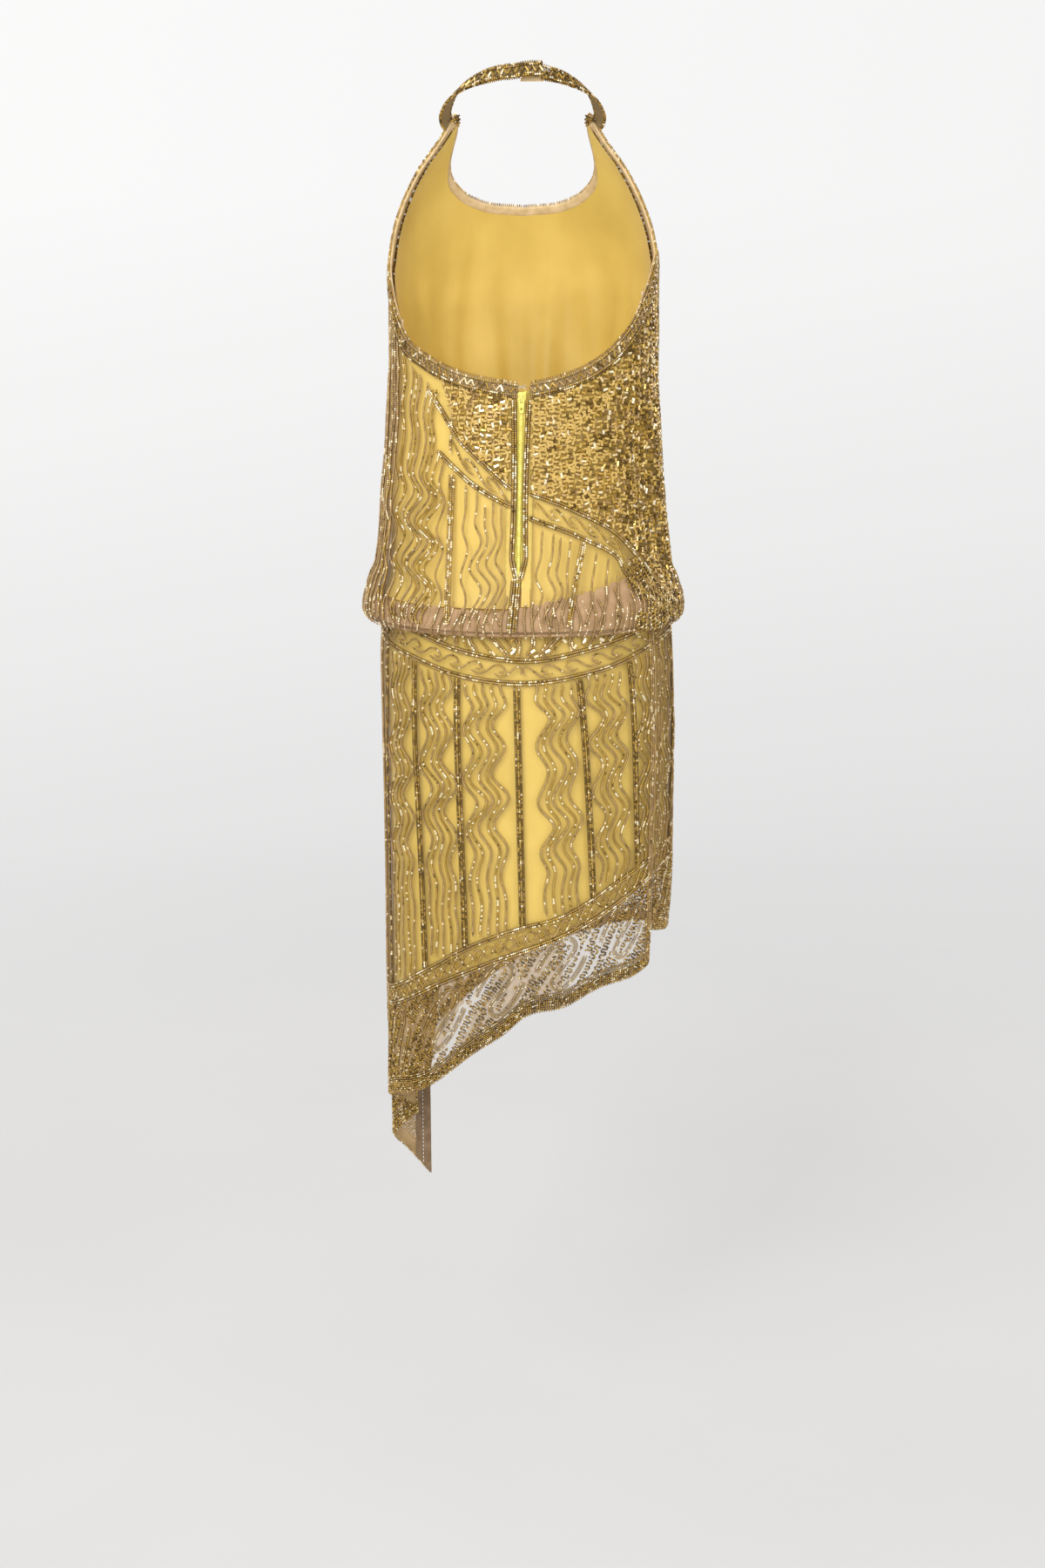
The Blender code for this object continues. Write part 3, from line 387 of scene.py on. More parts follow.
def ring(sections, angle, drop, relief=0.0, grow=0.0):
    half, centre, back, front = (read(sections, "drop", name, drop) for name in Section._fields[1:])
    sine, cosine = np.sin(angle), np.cos(angle)
    depth = np.where(cosine > 0, SIDE_Y - back, front - SIDE_Y) + grow
    power = np.abs(sine / (half + grow)) ** SQUARENESS + np.abs(cosine / depth) ** SQUARENESS
    radius = power ** (-1 / SQUARENESS) + relief
    return np.stack([centre + radius * sine, SIDE_Y - radius * cosine, -drop + 0 * radius], axis=-1)


def creased(creases, angle, drop):
    lift = 0 * (angle + drop)
    for fold in creases:
        along = np.clip((drop - fold.top) / (fold.low - fold.top), 0.0, 1.0)
        middle = np.radians(fold.angle_top + (fold.angle_low - fold.angle_top) * along)
        height = fold.height * ease(4 * along) * ease(4 * (1 - along))
        lift = lift + height * np.exp(-((signed(angle - middle) / math.radians(fold.spread)) ** 2))
    return lift


def bodice(angle, course):
    """The bodice. Course is the drop down to the turn, and goes on along the cloth past it."""
    run = np.maximum(course - FOLD_DROP, 0.0)
    turned = read(BLOUSE_TURN, "run", "drop", run)
    share = read(BLOUSE_TURN, "run", "share", run)[..., None]
    at = np.minimum(course, FOLD_DROP)
    relief = (creased(BODICE_CREASES, angle, at) + creased(BODICE_RIPPLES, angle, at)) * (1 - share[..., 0])
    outside = ring(BODICE_SECTIONS, angle, at, relief)
    inside = ring(SKIRT_SECTIONS, angle, turned, grow=SEAM_CLEAR)
    point = outside * (1 - share) + inside * share
    point[..., 2] = -np.where(run > 0, turned, course)
    return point


def skirt(angle, drop):
    relief = creased(SKIRT_CREASES, angle, drop) + creased(SKIRT_RIPPLES, angle, drop)
    return ring(SKIRT_SECTIONS, angle, drop, relief)


def skirt_back(angle, drop):
    """The back panel, whose long corner hangs in folds past the side."""
    point = skirt(angle, drop)
    start, end = math.radians(CASCADE_FROM), math.radians(LEFT_SEAM)
    share = (start - angle) / (start - end)
    reach = reach_along(CASCADE_PLAN)
    along = np.clip(share, 0.0, 1.0) * reach[-1]
    inset, y = (through(reach, values, along) for values in np.transpose(CASCADE_PLAN))
    side = ring(SKIRT_SECTIONS, np.full_like(angle, -math.pi / 2), drop)[..., 0]
    begin = ring(SKIRT_SECTIONS, np.full_like(angle, start), drop)
    hung = np.stack([side + inset, y + begin[..., 1] - CASCADE_PLAN[0].y, point[..., 2]], axis=-1)
    weight = ease((drop - CASCADE_TOP) / (CASCADE_FULL - CASCADE_TOP)) * ease(share / 0.12)
    return point + (hung - point) * weight[..., None]


def bodice_lining_face(angle, drop):
    slope = ease((drop - LINING_SLOPE_FROM) / (SEAM_DROP - LINING_SLOPE_FROM))
    relief = (creased(BODICE_CREASES, angle, drop) + creased(LINING_RIPPLES, angle, drop)) * (1 - slope)
    inset = LINING_INSET_TOP + (LINING_INSET_LOW - LINING_INSET_TOP) * slope
    return ring(BODICE_SECTIONS, angle, drop, relief - inset - LINING_HALF)


def skirt_lining_face(angle, drop):
    relief = creased(SKIRT_CREASES, angle, drop) - SKIRT_LINING_INSET * ease((drop - 0.50) / 0.06)
    return ring(SKIRT_SECTIONS, angle, drop, relief - SEAM_GAP - LINING_HALF)


def neck_edge(angle):
    degrees = np.degrees(signed(angle))
    left, right = (edge_drop(edge, np.abs(degrees)) for edge in (NECK_EDGE_LEFT, NECK_EDGE_RIGHT))
    return np.where(degrees < 0, left, right)


def band_drop(angle):
    """How far down the beaded band reaches, which is more where the edge is steep."""
    step = math.radians(1.0)
    before, after = (bodice(angle + side, neck_edge(angle + side)) for side in (-step, step))
    along = after - before
    slope = np.abs(along[..., 2]) / np.hypot(along[..., 0], along[..., 1])
    return NECKBAND_WIDTH * np.minimum(np.hypot(1.0, slope), STEEPEST_BAND)


def edge_band(angle, share):
    """The bodice's upper edge: share is 0 at the edge and 1 at the band's lower line."""
    return bodice(angle, neck_edge(angle) + share * band_drop(angle))


def zip_middle(drop):
    share = (drop - ZIP_TOP) / (ZIP_LOW - ZIP_TOP)
    return ZIP_X_TOP + (ZIP_X_LOW - ZIP_X_TOP) * np.clip(share, 0.0, 1.3)


def angle_of_x(x, drop):
    centre, back = (read(BODICE_SECTIONS, "drop", name, drop) for name in ("centre", "back"))
    return np.arctan2(x - centre, SIDE_Y - back)


def zip_angle(drop, aside=0.0):
    """The angle of the zip's middle line, or of a line beside it."""
    return angle_of_x(zip_middle(drop) + aside, drop)


def band_top(angle):
    return edge_drop(HEM_BAND_TOP, np.degrees(angle))


def band_low(angle):
    return edge_drop(HEM_BAND_LOW, np.degrees(angle))


def yoke_top(angle):
    return edge_drop(YOKE_TOP, np.degrees(signed(angle)))


def yoke_low(angle):
    return edge_drop(YOKE_LOW, np.degrees(signed(angle)))


def between(top, low):
    """The middle line of a band, from its two edges."""
    return lambda angle: (top(angle) + low(angle)) / 2


def strap_surface(stations, side):
    """A strap as a surface: how far along its stations, and -1 to 1 from its lower to its upper edge."""
    stations = np.array(stations)
    middle, across = stations[:, :3], unit(stations[:, 3:])
    rows = middle[:, None] + np.array([-1, 0, 1])[None, :, None] * STRAP_HALF_WIDTH * across[:, None]
    angle = np.radians([CORNER_OUT, 0.5 * (CORNER_OUT + CORNER_IN), CORNER_IN])
    rows = np.concatenate([rows, bodice(angle, neck_edge(angle) - SEAM_GAP)[None]])
    rows[..., 0] *= side

    def at(along, over):
        edges = ([through(range(len(rows)), line, along) for line in rows[:, i].T] for i in range(3))
        low, mid, high = (np.stack(edge, axis=-1) for edge in edges)
        over = np.asarray(over)[..., None]
        return mid + over * (high - low) / 2 + over * over * ((high + low) / 2 - mid)

    at.flip = -side
    at.length = len(rows) - 1
    return at


def on(surface, angle, course, lift=0.0):
    """Points on a surface moved out by lift, metres for one unit round and down it, and the normal."""
    step = 1e-4
    round_it = (surface(angle + step, course) - surface(angle - step, course)) / (2 * step)
    down_it = (surface(angle, course + step) - surface(angle, course - step)) / (2 * step)
    normal = unit(np.cross(down_it, round_it) * getattr(surface, "flip", 1))
    return surface(angle, course) + normal * np.asarray(lift)[..., None], round_it, down_it, normal


# Meshes


def mesh_object(name, points, loops, totals, materials, index=None, smooth=None):
    """An object from flat arrays of points and polygons."""
    mesh = bpy.data.meshes.new(name)
    mesh.vertices.add(len(points))
    mesh.vertices.foreach_set("co", np.asarray(points, np.float32).ravel())
    mesh.loops.add(len(loops))
    mesh.loops.foreach_set("vertex_index", np.asarray(loops, np.int32))
    mesh.polygons.add(len(totals))
    mesh.polygons.foreach_set("loop_start", np.concatenate([[0], np.cumsum(totals)[:-1]]).astype(np.int32))
    for material in materials:
        mesh.materials.append(material)
    if index is not None:
        mesh.polygons.foreach_set("material_index", np.asarray(index, np.int32).ravel())
    mesh.polygons.foreach_set("use_smooth", np.full(len(totals), True) if smooth is None else smooth)
    mesh.update(calc_edges=True)
    made = bpy.data.objects.new(name, mesh)
    bpy.context.scene.collection.objects.link(made)
    return made


def dressed(made, node):
    """A piece of the dress: it rides with it, and may stand in for one of the frame's nodes."""
    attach(made, "dress")
    if node:
        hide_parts(node)
    return made


def quads(rows, columns, closed=False):
    """The corners of the faces of a grid, row by row."""
    here = np.arange(rows * columns).reshape(rows, columns)
    aside = np.roll(here, -1, axis=1)
    across = columns if closed else columns - 1
    corners = (here[:-1], here[1:], aside[1:], aside[:-1])
    return np.stack([corner[:, :across] for corner in corners], axis=-1).reshape(-1, 4)


def shell(name, surface, angle, course, lift, materials, node=None, index=None, closed=False):
    """A thin sheet over a grid of rows and columns on a surface, with a UV map in metres."""
    points = on(surface, angle, course, lift)[0]
    faces = quads(*angle.shape, closed)
    if getattr(surface, "flip", 1) < 0:
        faces = faces[:, ::-1]
    loops = faces.ravel()
    made = mesh_object(name, points.reshape(-1, 3), loops, np.full(len(faces), 4), materials, index)
    uv = np.stack([angle * 0.15, -course], axis=-1)
    layer = made.data.uv_layers.new(name="cloth")
    layer.data.foreach_set("uv", uv.reshape(-1, 2)[loops].astype(np.float32).ravel())
    return dressed(made, node)


def template(points, polygons):
    """A bead's points, its loops and how many of them each polygon has."""
    return np.array(points, float), np.concatenate(polygons), np.array([len(polygon) for polygon in polygons])


def barrel(sides, rings, capped):
    """A bead of unit length and radius about +X."""
    turn = (np.arange(sides) + 0.5) * 2 * math.pi / sides
    points = [(x, radius * math.cos(t), radius * math.sin(t)) for x, radius in rings for t in turn]
    polygons = []
    for low in range(0, len(points) - sides, sides):
        for side in range(sides):
            aside = (side + 1) % sides
            polygons.append([low + sides + side, low + sides + aside, low + aside, low + side])
    if capped:
        polygons += [range(sides), range(len(points) - 1, len(points) - sides - 1, -1)]
    return template(points, polygons)


def double_cone(sides):
    """The plainest bead, for rows that lie deep or small."""
    turn = np.arange(sides) * 2 * math.pi / sides
    points = [(-0.62, 0, 0)] + [(0, math.cos(t), math.sin(t)) for t in turn] + [(0.62, 0, 0)]
    polygons = []
    for side in range(sides):
        here, aside = 1 + side, 1 + (side + 1) % sides
        polygons += [[aside, here, 0], [here, aside, sides + 1]]
    return template(points, polygons)


SEED = barrel(4, [(-0.5, 0.72), (0.0, 1.12), (0.5, 0.72)], False)
PLAIN_SEED = double_cone(4)
BUGLE = barrel(5, [(-0.5, 1.0), (0.5, 1.0)], True)
TOOTH = barrel(6, [(-0.5, 0.6), (-0.3, 1.0), (0.3, 1.0), (0.5, 0.6)], True)


class Beadwork:
    """Beads and strips of thread and painted shade that become one mesh."""

    def __init__(self, plain=False):
        self.forms = {"seed": PLAIN_SEED if plain else SEED, "bugle": BUGLE, "tooth": TOOTH}
        self.places = {kind: [] for kind in self.forms}
        self.strips = []

    def strip(self, middle, aside, half, tone):
        """A narrow flat run of thread and painted shade along a row of points, which reaches half its width
        to each side.
        """
        aside = aside * (half / np.linalg.norm(aside, axis=-1, keepdims=True))
        self.strips.append((middle - aside, middle + aside, tone))

    def add(self, kind, point, along, normal, length, radius, tone):
        """Beads of one kind at points, each with its length along a direction."""
        count = len(point)
        if not count:
            return
        along = unit(along)
        over = unit(np.cross(normal, along))
        axes = np.stack([along, over, np.cross(along, over)], axis=-1)
        size = np.stack([np.broadcast_to(given, count) for given in (length, radius, radius)], axis=-1)
        self.places[kind].append((point, axes, size, np.broadcast_to(tone, count)))

    def build(self, name, materials, slot, node=None):
        parts, start = [], 0
        for kind, (form, form_loops, form_totals) in self.forms.items():
            if not self.places[kind]:
                continue
            place, axes, size, tone = (np.concatenate(given) for given in zip(*self.places[kind]))
            count = len(place)
            points = place[:, None] + np.einsum("nij,nkj->nki", axes, form[None] * size[:, None])
            loops = form_loops[None] + (start + np.arange(count) * len(form))[:, None]
            totals, index = np.tile(form_totals, count), np.repeat(tone, len(form_totals))
            smooth = np.full(len(totals), kind != "bugle")
            parts.append((points.reshape(-1, 3), loops.ravel(), totals, index, smooth))
            start += count * len(form)
        for left, right, tone in self.strips:
            count = len(left)
            low = start + np.arange(count - 1)
            loops = np.stack([low, low + count, low + count + 1, low + 1], axis=-1).ravel()
            faces = (np.full(count - 1, given) for given in (4, tone, True))
            parts.append((np.concatenate([left, right]), loops, *faces))
            start += 2 * count
        points, loops, totals, index, smooth = (np.concatenate(given) for given in zip(*parts))
        return dressed(mesh_object(name, points, loops, totals, materials, index, smooth), node)


# Laying beads


def tones(count, shares):
    """Tones drawn in given shares, in the order taupe, gold, painted glint, bronze, honey."""
    return RANDOM.choice(len(shares), count, p=np.array(shares) / sum(shares))


def strays(low, high, count):
    """One random number a bead, as a column."""
    return RANDOM.uniform(low, high, (count, 1))


# Shares of taupe, gold, painted glint, bronze and honey in each mix; the painted glints are near-white beads
# that stand in for highlights
MIX_TAUPE = (0.90, 0.05, 0.03, 0.02)
MIX_GOLD = (0.06, 0.84, 0.06, 0.04)
MIX_BRONZE = (0.14, 0.16, 0.02, 0.68)
MIX_LINE = (0.48, 0.40, 0.08, 0.04)
MIX_PAINTED_GLINTS = (0.34, 0.32, 0.32, 0.02)
MIX_GLINT = (0, 0.1, 0.9, 0)
MIX_FINE = (0.5, 0.0, 0.5, 0.0)
MIX_PALE = (0.84, 0.06, 0.08, 0.02)
MIX_AMBER = (0.06, 0.78, 0.12, 0.04)
MIX_DENSE = (0.05, 0.09, 0.06, 0.03, 0.77)
MIX_DARKER_AND_SHADED = (0.18, 0.34, 0.06, 0.26, 0.16)
MIX_SCRIBBLE = (0.12, 0.50, 0.05, 0.33)
MIX_HEM = (0.22, 0.54, 0.08, 0.16)
MIX_BAR = (0.12, 0.60, 0.05, 0.23)
MIX_STRAP = (0.14, 0.40, 0.06, 0.40)
MIX_ZIGZAG = (0.44, 0.30, 0.14, 0.12)


def spaced(surface, angle, course, pitch):
    """Evenly spaced places along a line on a surface."""
    reach = reach_along(surface(angle, course))
    count = max(int(reach[-1] / pitch), 2)
    at = (np.arange(count) + 0.5) * reach[-1] / count
    return np.interp(at, reach, angle), np.interp(at, reach, course)


def beside(surface, angle, course, offset):
    """A line moved sideways over the cloth."""
    _, round_it, down_it, _ = on(surface, angle, course)
    wide, tall = np.linalg.norm(round_it, axis=-1), np.linalg.norm(down_it, axis=-1)
    right, down = np.gradient(angle) * wide, np.gradient(course) * tall
    size = np.hypot(right, down)
    return angle - offset * down / size / wide, course + offset * right / size / tall


def lay(
    work, surface, angle, course, mix, pitch=SEED_PITCH, radius=SEED_RADIUS, lift=BEAD_LIFT, runs=0,
    shade=0.0016, under=SOFT_SHADE,
):
    """A row of seed beads along a line, with some short runs of beads painted bright as glints, over a strip
    of thread and painted shade.
    """
    at, down = spaced(surface, angle, course, pitch)
    point, _, _, normal = on(surface, at, down, lift)
    count = len(at)
    if shade and count > 3:
        shaded_thread, _, _, out = on(surface, *spaced(surface, angle, course, THREAD_SHADE_PITCH), lift - THREAD_SHADE_DEPTH)
        work.strip(shaded_thread, np.cross(out, np.gradient(shaded_thread, axis=0)), shade, under)
    tone = tones(count, mix)
    for start in RANDOM.integers(0, count, runs):
        tone[start : start + RANDOM.integers(1, 4)] = PAINTED_GLINT
    size = radius * RANDOM.uniform(0.88, 1.08, count)
    work.add("seed", point, np.gradient(point, axis=0), normal, pitch * 0.86, size, tone)


def both_sides(work, surface, angle, course, half, mix, **how):
    """A row of beads on each side of a line."""
    for side in (-half, half):
        lay(work, surface, *beside(surface, angle, course, side), mix, **how)


def double_row(work, surface, angle, course, runs, half=0.0012, mix=MIX_LINE):
    both_sides(work, surface, angle, course, half, mix, runs=runs, shade=0.0017, under=SHADE)


def upright_row(work, surface, degrees, low, mix):
    """A row straight down a skirt panel from its seam."""
    drop = np.linspace(0.530, low, 200)
    lay(work, surface, np.radians(degrees) + 0 * drop, drop, mix, runs=4)


def bar(work, surface, angle, course):
    """A straight bar: one bright row, with a few painted glints, between two dark ones that are painted shade
    along its sides.
    """
    lift = BEAD_LIFT + 0.0007
    lay(work, surface, angle, course, MIX_BAR, lift=lift, radius=0.0012, runs=3, shade=0.0038, under=SHADE)
    both_sides(work, surface, angle, course, 0.0022, MIX_BRONZE, radius=0.0011, shade=0)


def scattered(work, surface, angle, course, heading, mix, length, radius, lift=BEAD_LIFT):
    """Loose bugles, each at its own heading from level."""
    count = len(angle)
    if not count:
        return
    point, round_it, down_it, normal = on(surface, angle, course, lift)
    right, down = unit(round_it), unit(down_it)
    along = right * np.cos(heading)[:, None] + down * np.sin(heading)[:, None]
    along = along + normal * strays(-0.08, 0.08, count)
    turned = normal + right * strays(-0.2, 0.2, count) + down * strays(-0.2, 0.2, count)
    lengths, radii = length * RANDOM.uniform(0.86, 1.1, count), radius * RANDOM.uniform(0.9, 1.08, count)
    work.add("bugle", point, along, turned, lengths, radii, tones(count, mix))


def zigzag(work, surface, line, over, pitch, lift, lean, length, mix, square=False):
    """Bugles that lean this way and that along a line, which stays at one course of the surface."""
    at, _ = spaced(surface, line, over + 0 * line, pitch)
    point, round_it, down_it, normal = on(surface, at, over, lift)
    right, down = unit(round_it), unit(down_it)
    if square:
        down = np.cross(right, normal)
        down *= np.sign(np.sum(down * down_it, axis=-1, keepdims=True))
    turn = np.where(np.arange(len(at)) % 2 == 0, 1, -1)[:, None]
    work.add("bugle", point, right * lean * turn + down, normal, length, 0.0010, tones(len(at), mix))


def spikes(work, surface, line, course, way, pitch, lift, stand, spread, size, mix, shift=0.0):
    """Beads that stand out from an edge. Way is 1 down the surface and -1 up it."""
    at, drop = spaced(surface, line, course, pitch)
    point, _, down_it, normal = on(surface, at, drop + shift, lift)
    out = unit(down_it) * way
    along = out + normal * strays(*spread, len(at))
    work.add("seed", point + out * stand, along, normal, *size, tones(len(at), mix))


class Chart:
    """A flat chart of a surface between two angles: how far round in metres, at one drop, and the drop."""

    def __init__(self, surface, from_degrees, to_degrees, drop):
        self.surface = surface
        self.angles = np.radians(np.linspace(from_degrees, to_degrees, 400))
        self.reach = reach_along(surface(self.angles, np.full(400, drop)))
        self.end = self.reach[-1]

    def angle(self, reach):
        return np.interp(reach, self.reach, self.angles)

    def place(self, angle):
        return np.interp(angle, self.angles, self.reach)


def band_chart(surface, centre, from_degrees, to_degrees):
    """A chart at the mean drop of a band's two ends."""
    middle = float(np.mean(centre(np.radians([from_degrees, to_degrees]))))
    return Chart(surface, from_degrees, to_degrees, middle)


class Region:
    """Where loose beads may lie on a chart, kept on a millimetre grid."""

    def __init__(self, chart, top_of, low_of):
        self.chart = chart
        angle = chart.angle(np.arange(0, chart.end, 0.001))
        top, low = top_of(angle), low_of(angle)
        self.start, self.end = float(top.min()) - 0.002, float(low.max()) + 0.002
        drop = np.arange(self.start, self.end, 0.001)[:, None]
        self.free = (drop > top[None]) & (drop < low[None])

    def keep_off(self, reach, drop, distance):
        """Takes out what lies nearer than a distance to a line."""
        span = int(distance * 1000) + 1
        rows, columns = self.free.shape
        steps = range(-span, span + 1)
        near = [(di, dj) for di in steps for dj in steps if di * di + dj * dj <= (distance * 1000) ** 2]
        for x, y in zip(reach, drop):
            for di, dj in near:
                i, j = int((y - self.start) * 1000) + di, int(x * 1000) + dj
                if 0 <= i < rows and 0 <= j < columns:
                    self.free[i, j] = False

    def holds(self, reach, drop):
        rows, columns = self.free.shape
        i, j = ((drop - self.start) * 1000).astype(int), (reach * 1000).astype(int)
        within = (i >= 0) & (i < rows) & (j >= 0) & (j < columns)
        return within & self.free[np.clip(i, 0, rows - 1), np.clip(j, 0, columns - 1)]


def stretches(held, least):
    """The unbroken stretches of places that are held, each as its indices, when they are long enough."""
    breaks = np.flatnonzero(np.diff(held.astype(int))) + 1
    return [part for part in np.split(np.arange(len(held)), breaks) if held[part[0]] and len(part) >= least]


def meanders(region, lean, apart, wave, swing=1.7, pitch=0.0020):
    """Runs of small meanders side by side along a slanted direction, cut where the region ends."""
    lean = math.radians(lean)
    ahead = np.array([math.cos(lean), math.sin(lean)])
    aside = np.array([-math.sin(lean), math.cos(lean)])
    corners = np.array([[x, y] for x in (0, region.chart.end) for y in (region.start, region.end)])
    along, across = corners @ ahead, corners @ aside
    advance = np.cos(swing * np.sin(np.linspace(0, math.pi, 60))).mean()
    runs = []
    for place in np.arange(across.min(), across.max(), apart):
        s = np.arange(0, (along.max() - along.min()) / advance * 1.1, pitch)
        slow = 0.25 * np.sin(s / 0.031 + place * 400)
        heading = swing * np.sin(2 * math.pi * s / wave + RANDOM.uniform(0, 6.3)) + slow
        u = along.min() + np.cumsum(np.cos(heading)) * pitch
        v = place + np.cumsum(np.sin(heading)) * pitch
        v = v - (np.convolve(v, np.ones(60) / 60, "same") - place)
        points = u[30:-30, None] * ahead + v[30:-30, None] * aside
        runs += [points[part] for part in stretches(region.holds(*points.T), 3)]
    return runs


def lay_runs(work, chart, runs, mix, radius=SEED_RADIUS):
    for run in runs:
        point, _, _, normal = on(chart.surface, chart.angle(run[:, 0]), run[:, 1], BEAD_LIFT)
        along = np.gradient(point, axis=0)
        # A strip of thread and painted shade under every run
        shaded_thread = point[::2] - normal[::2] * THREAD_SHADE_DEPTH
        if len(shaded_thread) > 1:
            work.strip(shaded_thread, np.cross(normal, along)[::2], 0.0009, SHADE)
        size = radius * RANDOM.uniform(0.9, 1.08, len(run))
        work.add("seed", point, along, normal, 0.0018, size, tones(len(run), mix))


def vine(work, surface, centre, half, from_degrees, to_degrees, motif=0.0230, mix=MIX_TAUPE, way=1):
    """A running scroll along a band: leaning stems that each hook over the next one's foot."""
    chart = band_chart(surface, centre, from_degrees, to_degrees)
    count = max(round(chart.end / motif), 1)
    hook_x, hook_y = curve(RUNNING_HOOK, 60)
    for number in range(count):
        x = (number - 0.02 + hook_x * (1 + 0.05 * math.sin(2.3 * number))) * (chart.end / count)
        x = x if way > 0 else chart.end - x
        keep = (x > 0) & (x < chart.end)
        if keep.sum() >= 8:
            angle = chart.angle(x[keep])
            drop = centre(angle) + half * hook_y[keep]
            lay(work, surface, angle, drop, mix, pitch=0.0020, radius=0.00112, shade=0.0014)


def lattice(work, surface, centre, half, from_degrees, to_degrees):
    """Two rows that cross again and again along a band, with a small bead cluster in every other lens."""
    chart = band_chart(surface, centre, from_degrees, to_degrees)
    count = round(chart.end / LENS_LENGTH)
    x = np.linspace(0, chart.end, count * 12)
    turn = math.pi * x * count / chart.end
    angle = chart.angle(x)
    for side in (-1, 1):
        y = side * half * np.sin(turn) * (1 + 0.12 * np.sin(turn * 0.37))
        lay(work, surface, angle, centre(angle) + y, MIX_LINE, pitch=0.0021, radius=0.00112, shade=0.0019)
    curl = np.linspace(0.4, 5.2, 14)
    for place in ((np.arange(count) + 0.5) / count * chart.end)[::2]:
        x = place + 0.0019 * np.cos(curl)
        keep = (x > 0) & (x < chart.end)
        here = chart.angle(x[keep])
        drop = centre(here) + 0.0019 * np.sin(curl[keep])
        lay(work, surface, here, drop, MIX_GOLD, pitch=0.0020, radius=0.0010, shade=0)


def swirls(work, surface, from_degrees, to_degrees, middle):
    """Leaning pale double rows above the yoke, amber rows between them and a few large bugles painted bright
    as glints.
    """
    t = np.linspace(0, 1, 50)
    for number, degrees in enumerate(np.arange(from_degrees + 2, to_degrees - 2, 4.6)):
        way = -1 if degrees < middle else 1
        lean = way * (5.5 + 2.0 * math.sin(1.9 * number))
        angle = np.radians(degrees + lean * (1 - 2 * t) / 1.4 + way * 1.5 * np.sin(2 * math.pi * t + number))
        keep = (angle > math.radians(from_degrees)) & (angle < math.radians(to_degrees))
        if keep.sum() < 10:
            continue
        drop = (0.522 + (yoke_top(angle) - 0.0032 - 0.522) * t)[keep]
        angle = angle[keep]
        if number % 2:
            lay(work, surface, angle, drop, MIX_AMBER, radius=0.00125, shade=0.0022)
        else:
            both_sides(work, surface, angle, drop, 0.0012, MIX_PALE, radius=0.00112, runs=2, shade=0.0019)
    count = int((to_degrees - from_degrees) / 4.5)
    angle = np.radians(RANDOM.uniform(from_degrees + 1, to_degrees - 1, count))
    drop = yoke_top(angle) - RANDOM.uniform(0.004, 0.022, count)
    heading = RANDOM.uniform(-1.0, 1.0, count)
    scattered(work, surface, angle, drop, heading, MIX_GLINT, 0.0046, 0.0015, BEAD_LIFT + 0.0012)


def skewed(phase):
    """A wave that leans one way."""
    return np.sin(phase + 0.16 * np.sin(phase))


def wave_lines(work, surface, waves, low_of, top_of=None):
    """A set of nearly parallel wavy rows, which run out into straight ones lower down."""
    top = waves.top if top_of is None else float(top_of(math.radians(waves.angle_top))) + 0.0032
    low = float(low_of(math.radians(waves.angle_low))) - 0.002
    if low - top < 0.02:
        return
    drop = np.linspace(top, low, int((low - top) / 0.0022))
    share = (drop - waves.top) / (low - waves.top)
    middle = np.radians(waves.angle_top + (waves.angle_low - waves.angle_top) * share)
    wide = np.linalg.norm(on(surface, middle, drop)[1], axis=-1)
    grown = ease((drop - top) / 0.03)
    faded = 1 - 0.88 * ease((drop - waves.fade_from) / (waves.fade_to - waves.fade_from))
    slow = 1 + 0.20 * np.sin(drop / 0.021 + 1.3 * waves.phase)
    gather = 1 - 0.12 * ease((drop - waves.top) / 0.05) * faded
    for line in range(waves.count):
        place = (line + 0.5) / waves.count - 0.5
        place = math.copysign((2 * abs(place)) ** 0.9 / 2, place)
        height = waves.height * grown * faded * slow * (0.96 + 0.14 * math.sin(2.1 * line + waves.phase))
        phase = waves.phase + 0.22 * line + 2 * math.pi * (drop - waves.top) / waves.period
        phase = phase + 0.5 * np.sin(drop / 0.043 + 2.0 * waves.phase)
        stray = 0.0008 * np.sin(drop / 0.019 + 1.7 * line)
        angle = middle + (place * waves.spread * gather + height * skewed(phase) + stray) / wide
        mix, radius, runs = (MIX_AMBER, 0.00120, 4) if line % 2 else (MIX_PALE, 0.00108, 1)
        lay(work, surface, angle, drop, mix, radius=radius, runs=runs, shade=0.0023)


# Materials


def add_node(tree, kind, inputs, **settings):
    """A shader node whose inputs, by name or number, are set to a value or linked from another node."""
    made = tree.nodes.new("ShaderNode" + kind)
    for name, value in settings.items():
        setattr(made, name, value)
    for key, value in inputs.items():
        if isinstance(value, bpy.types.NodeSocket):
            tree.links.new(value, made.inputs[key])
        else:
            made.inputs[key].default_value = value
    return made


def set_stops(ramp, stops):
    """Gives a colour ramp its stops, each a position and a colour."""
    elements = ramp.color_ramp.elements
    while len(elements) < len(stops):
        elements.new(0.5)
    for element, (place, colour) in zip(elements, stops):
        element.position = place
        element.color = (*colour, 1)


def shader_of(material):
    return material.node_tree.nodes["Principled BSDF"].inputs


def add_bump(material, height, strength, distance):
    tree = material.node_tree
    bump = add_node(tree, "Bump", {"Height": height, "Strength": strength, "Distance": distance})
    tree.links.new(bump.outputs["Normal"], shader_of(material)["Normal"])


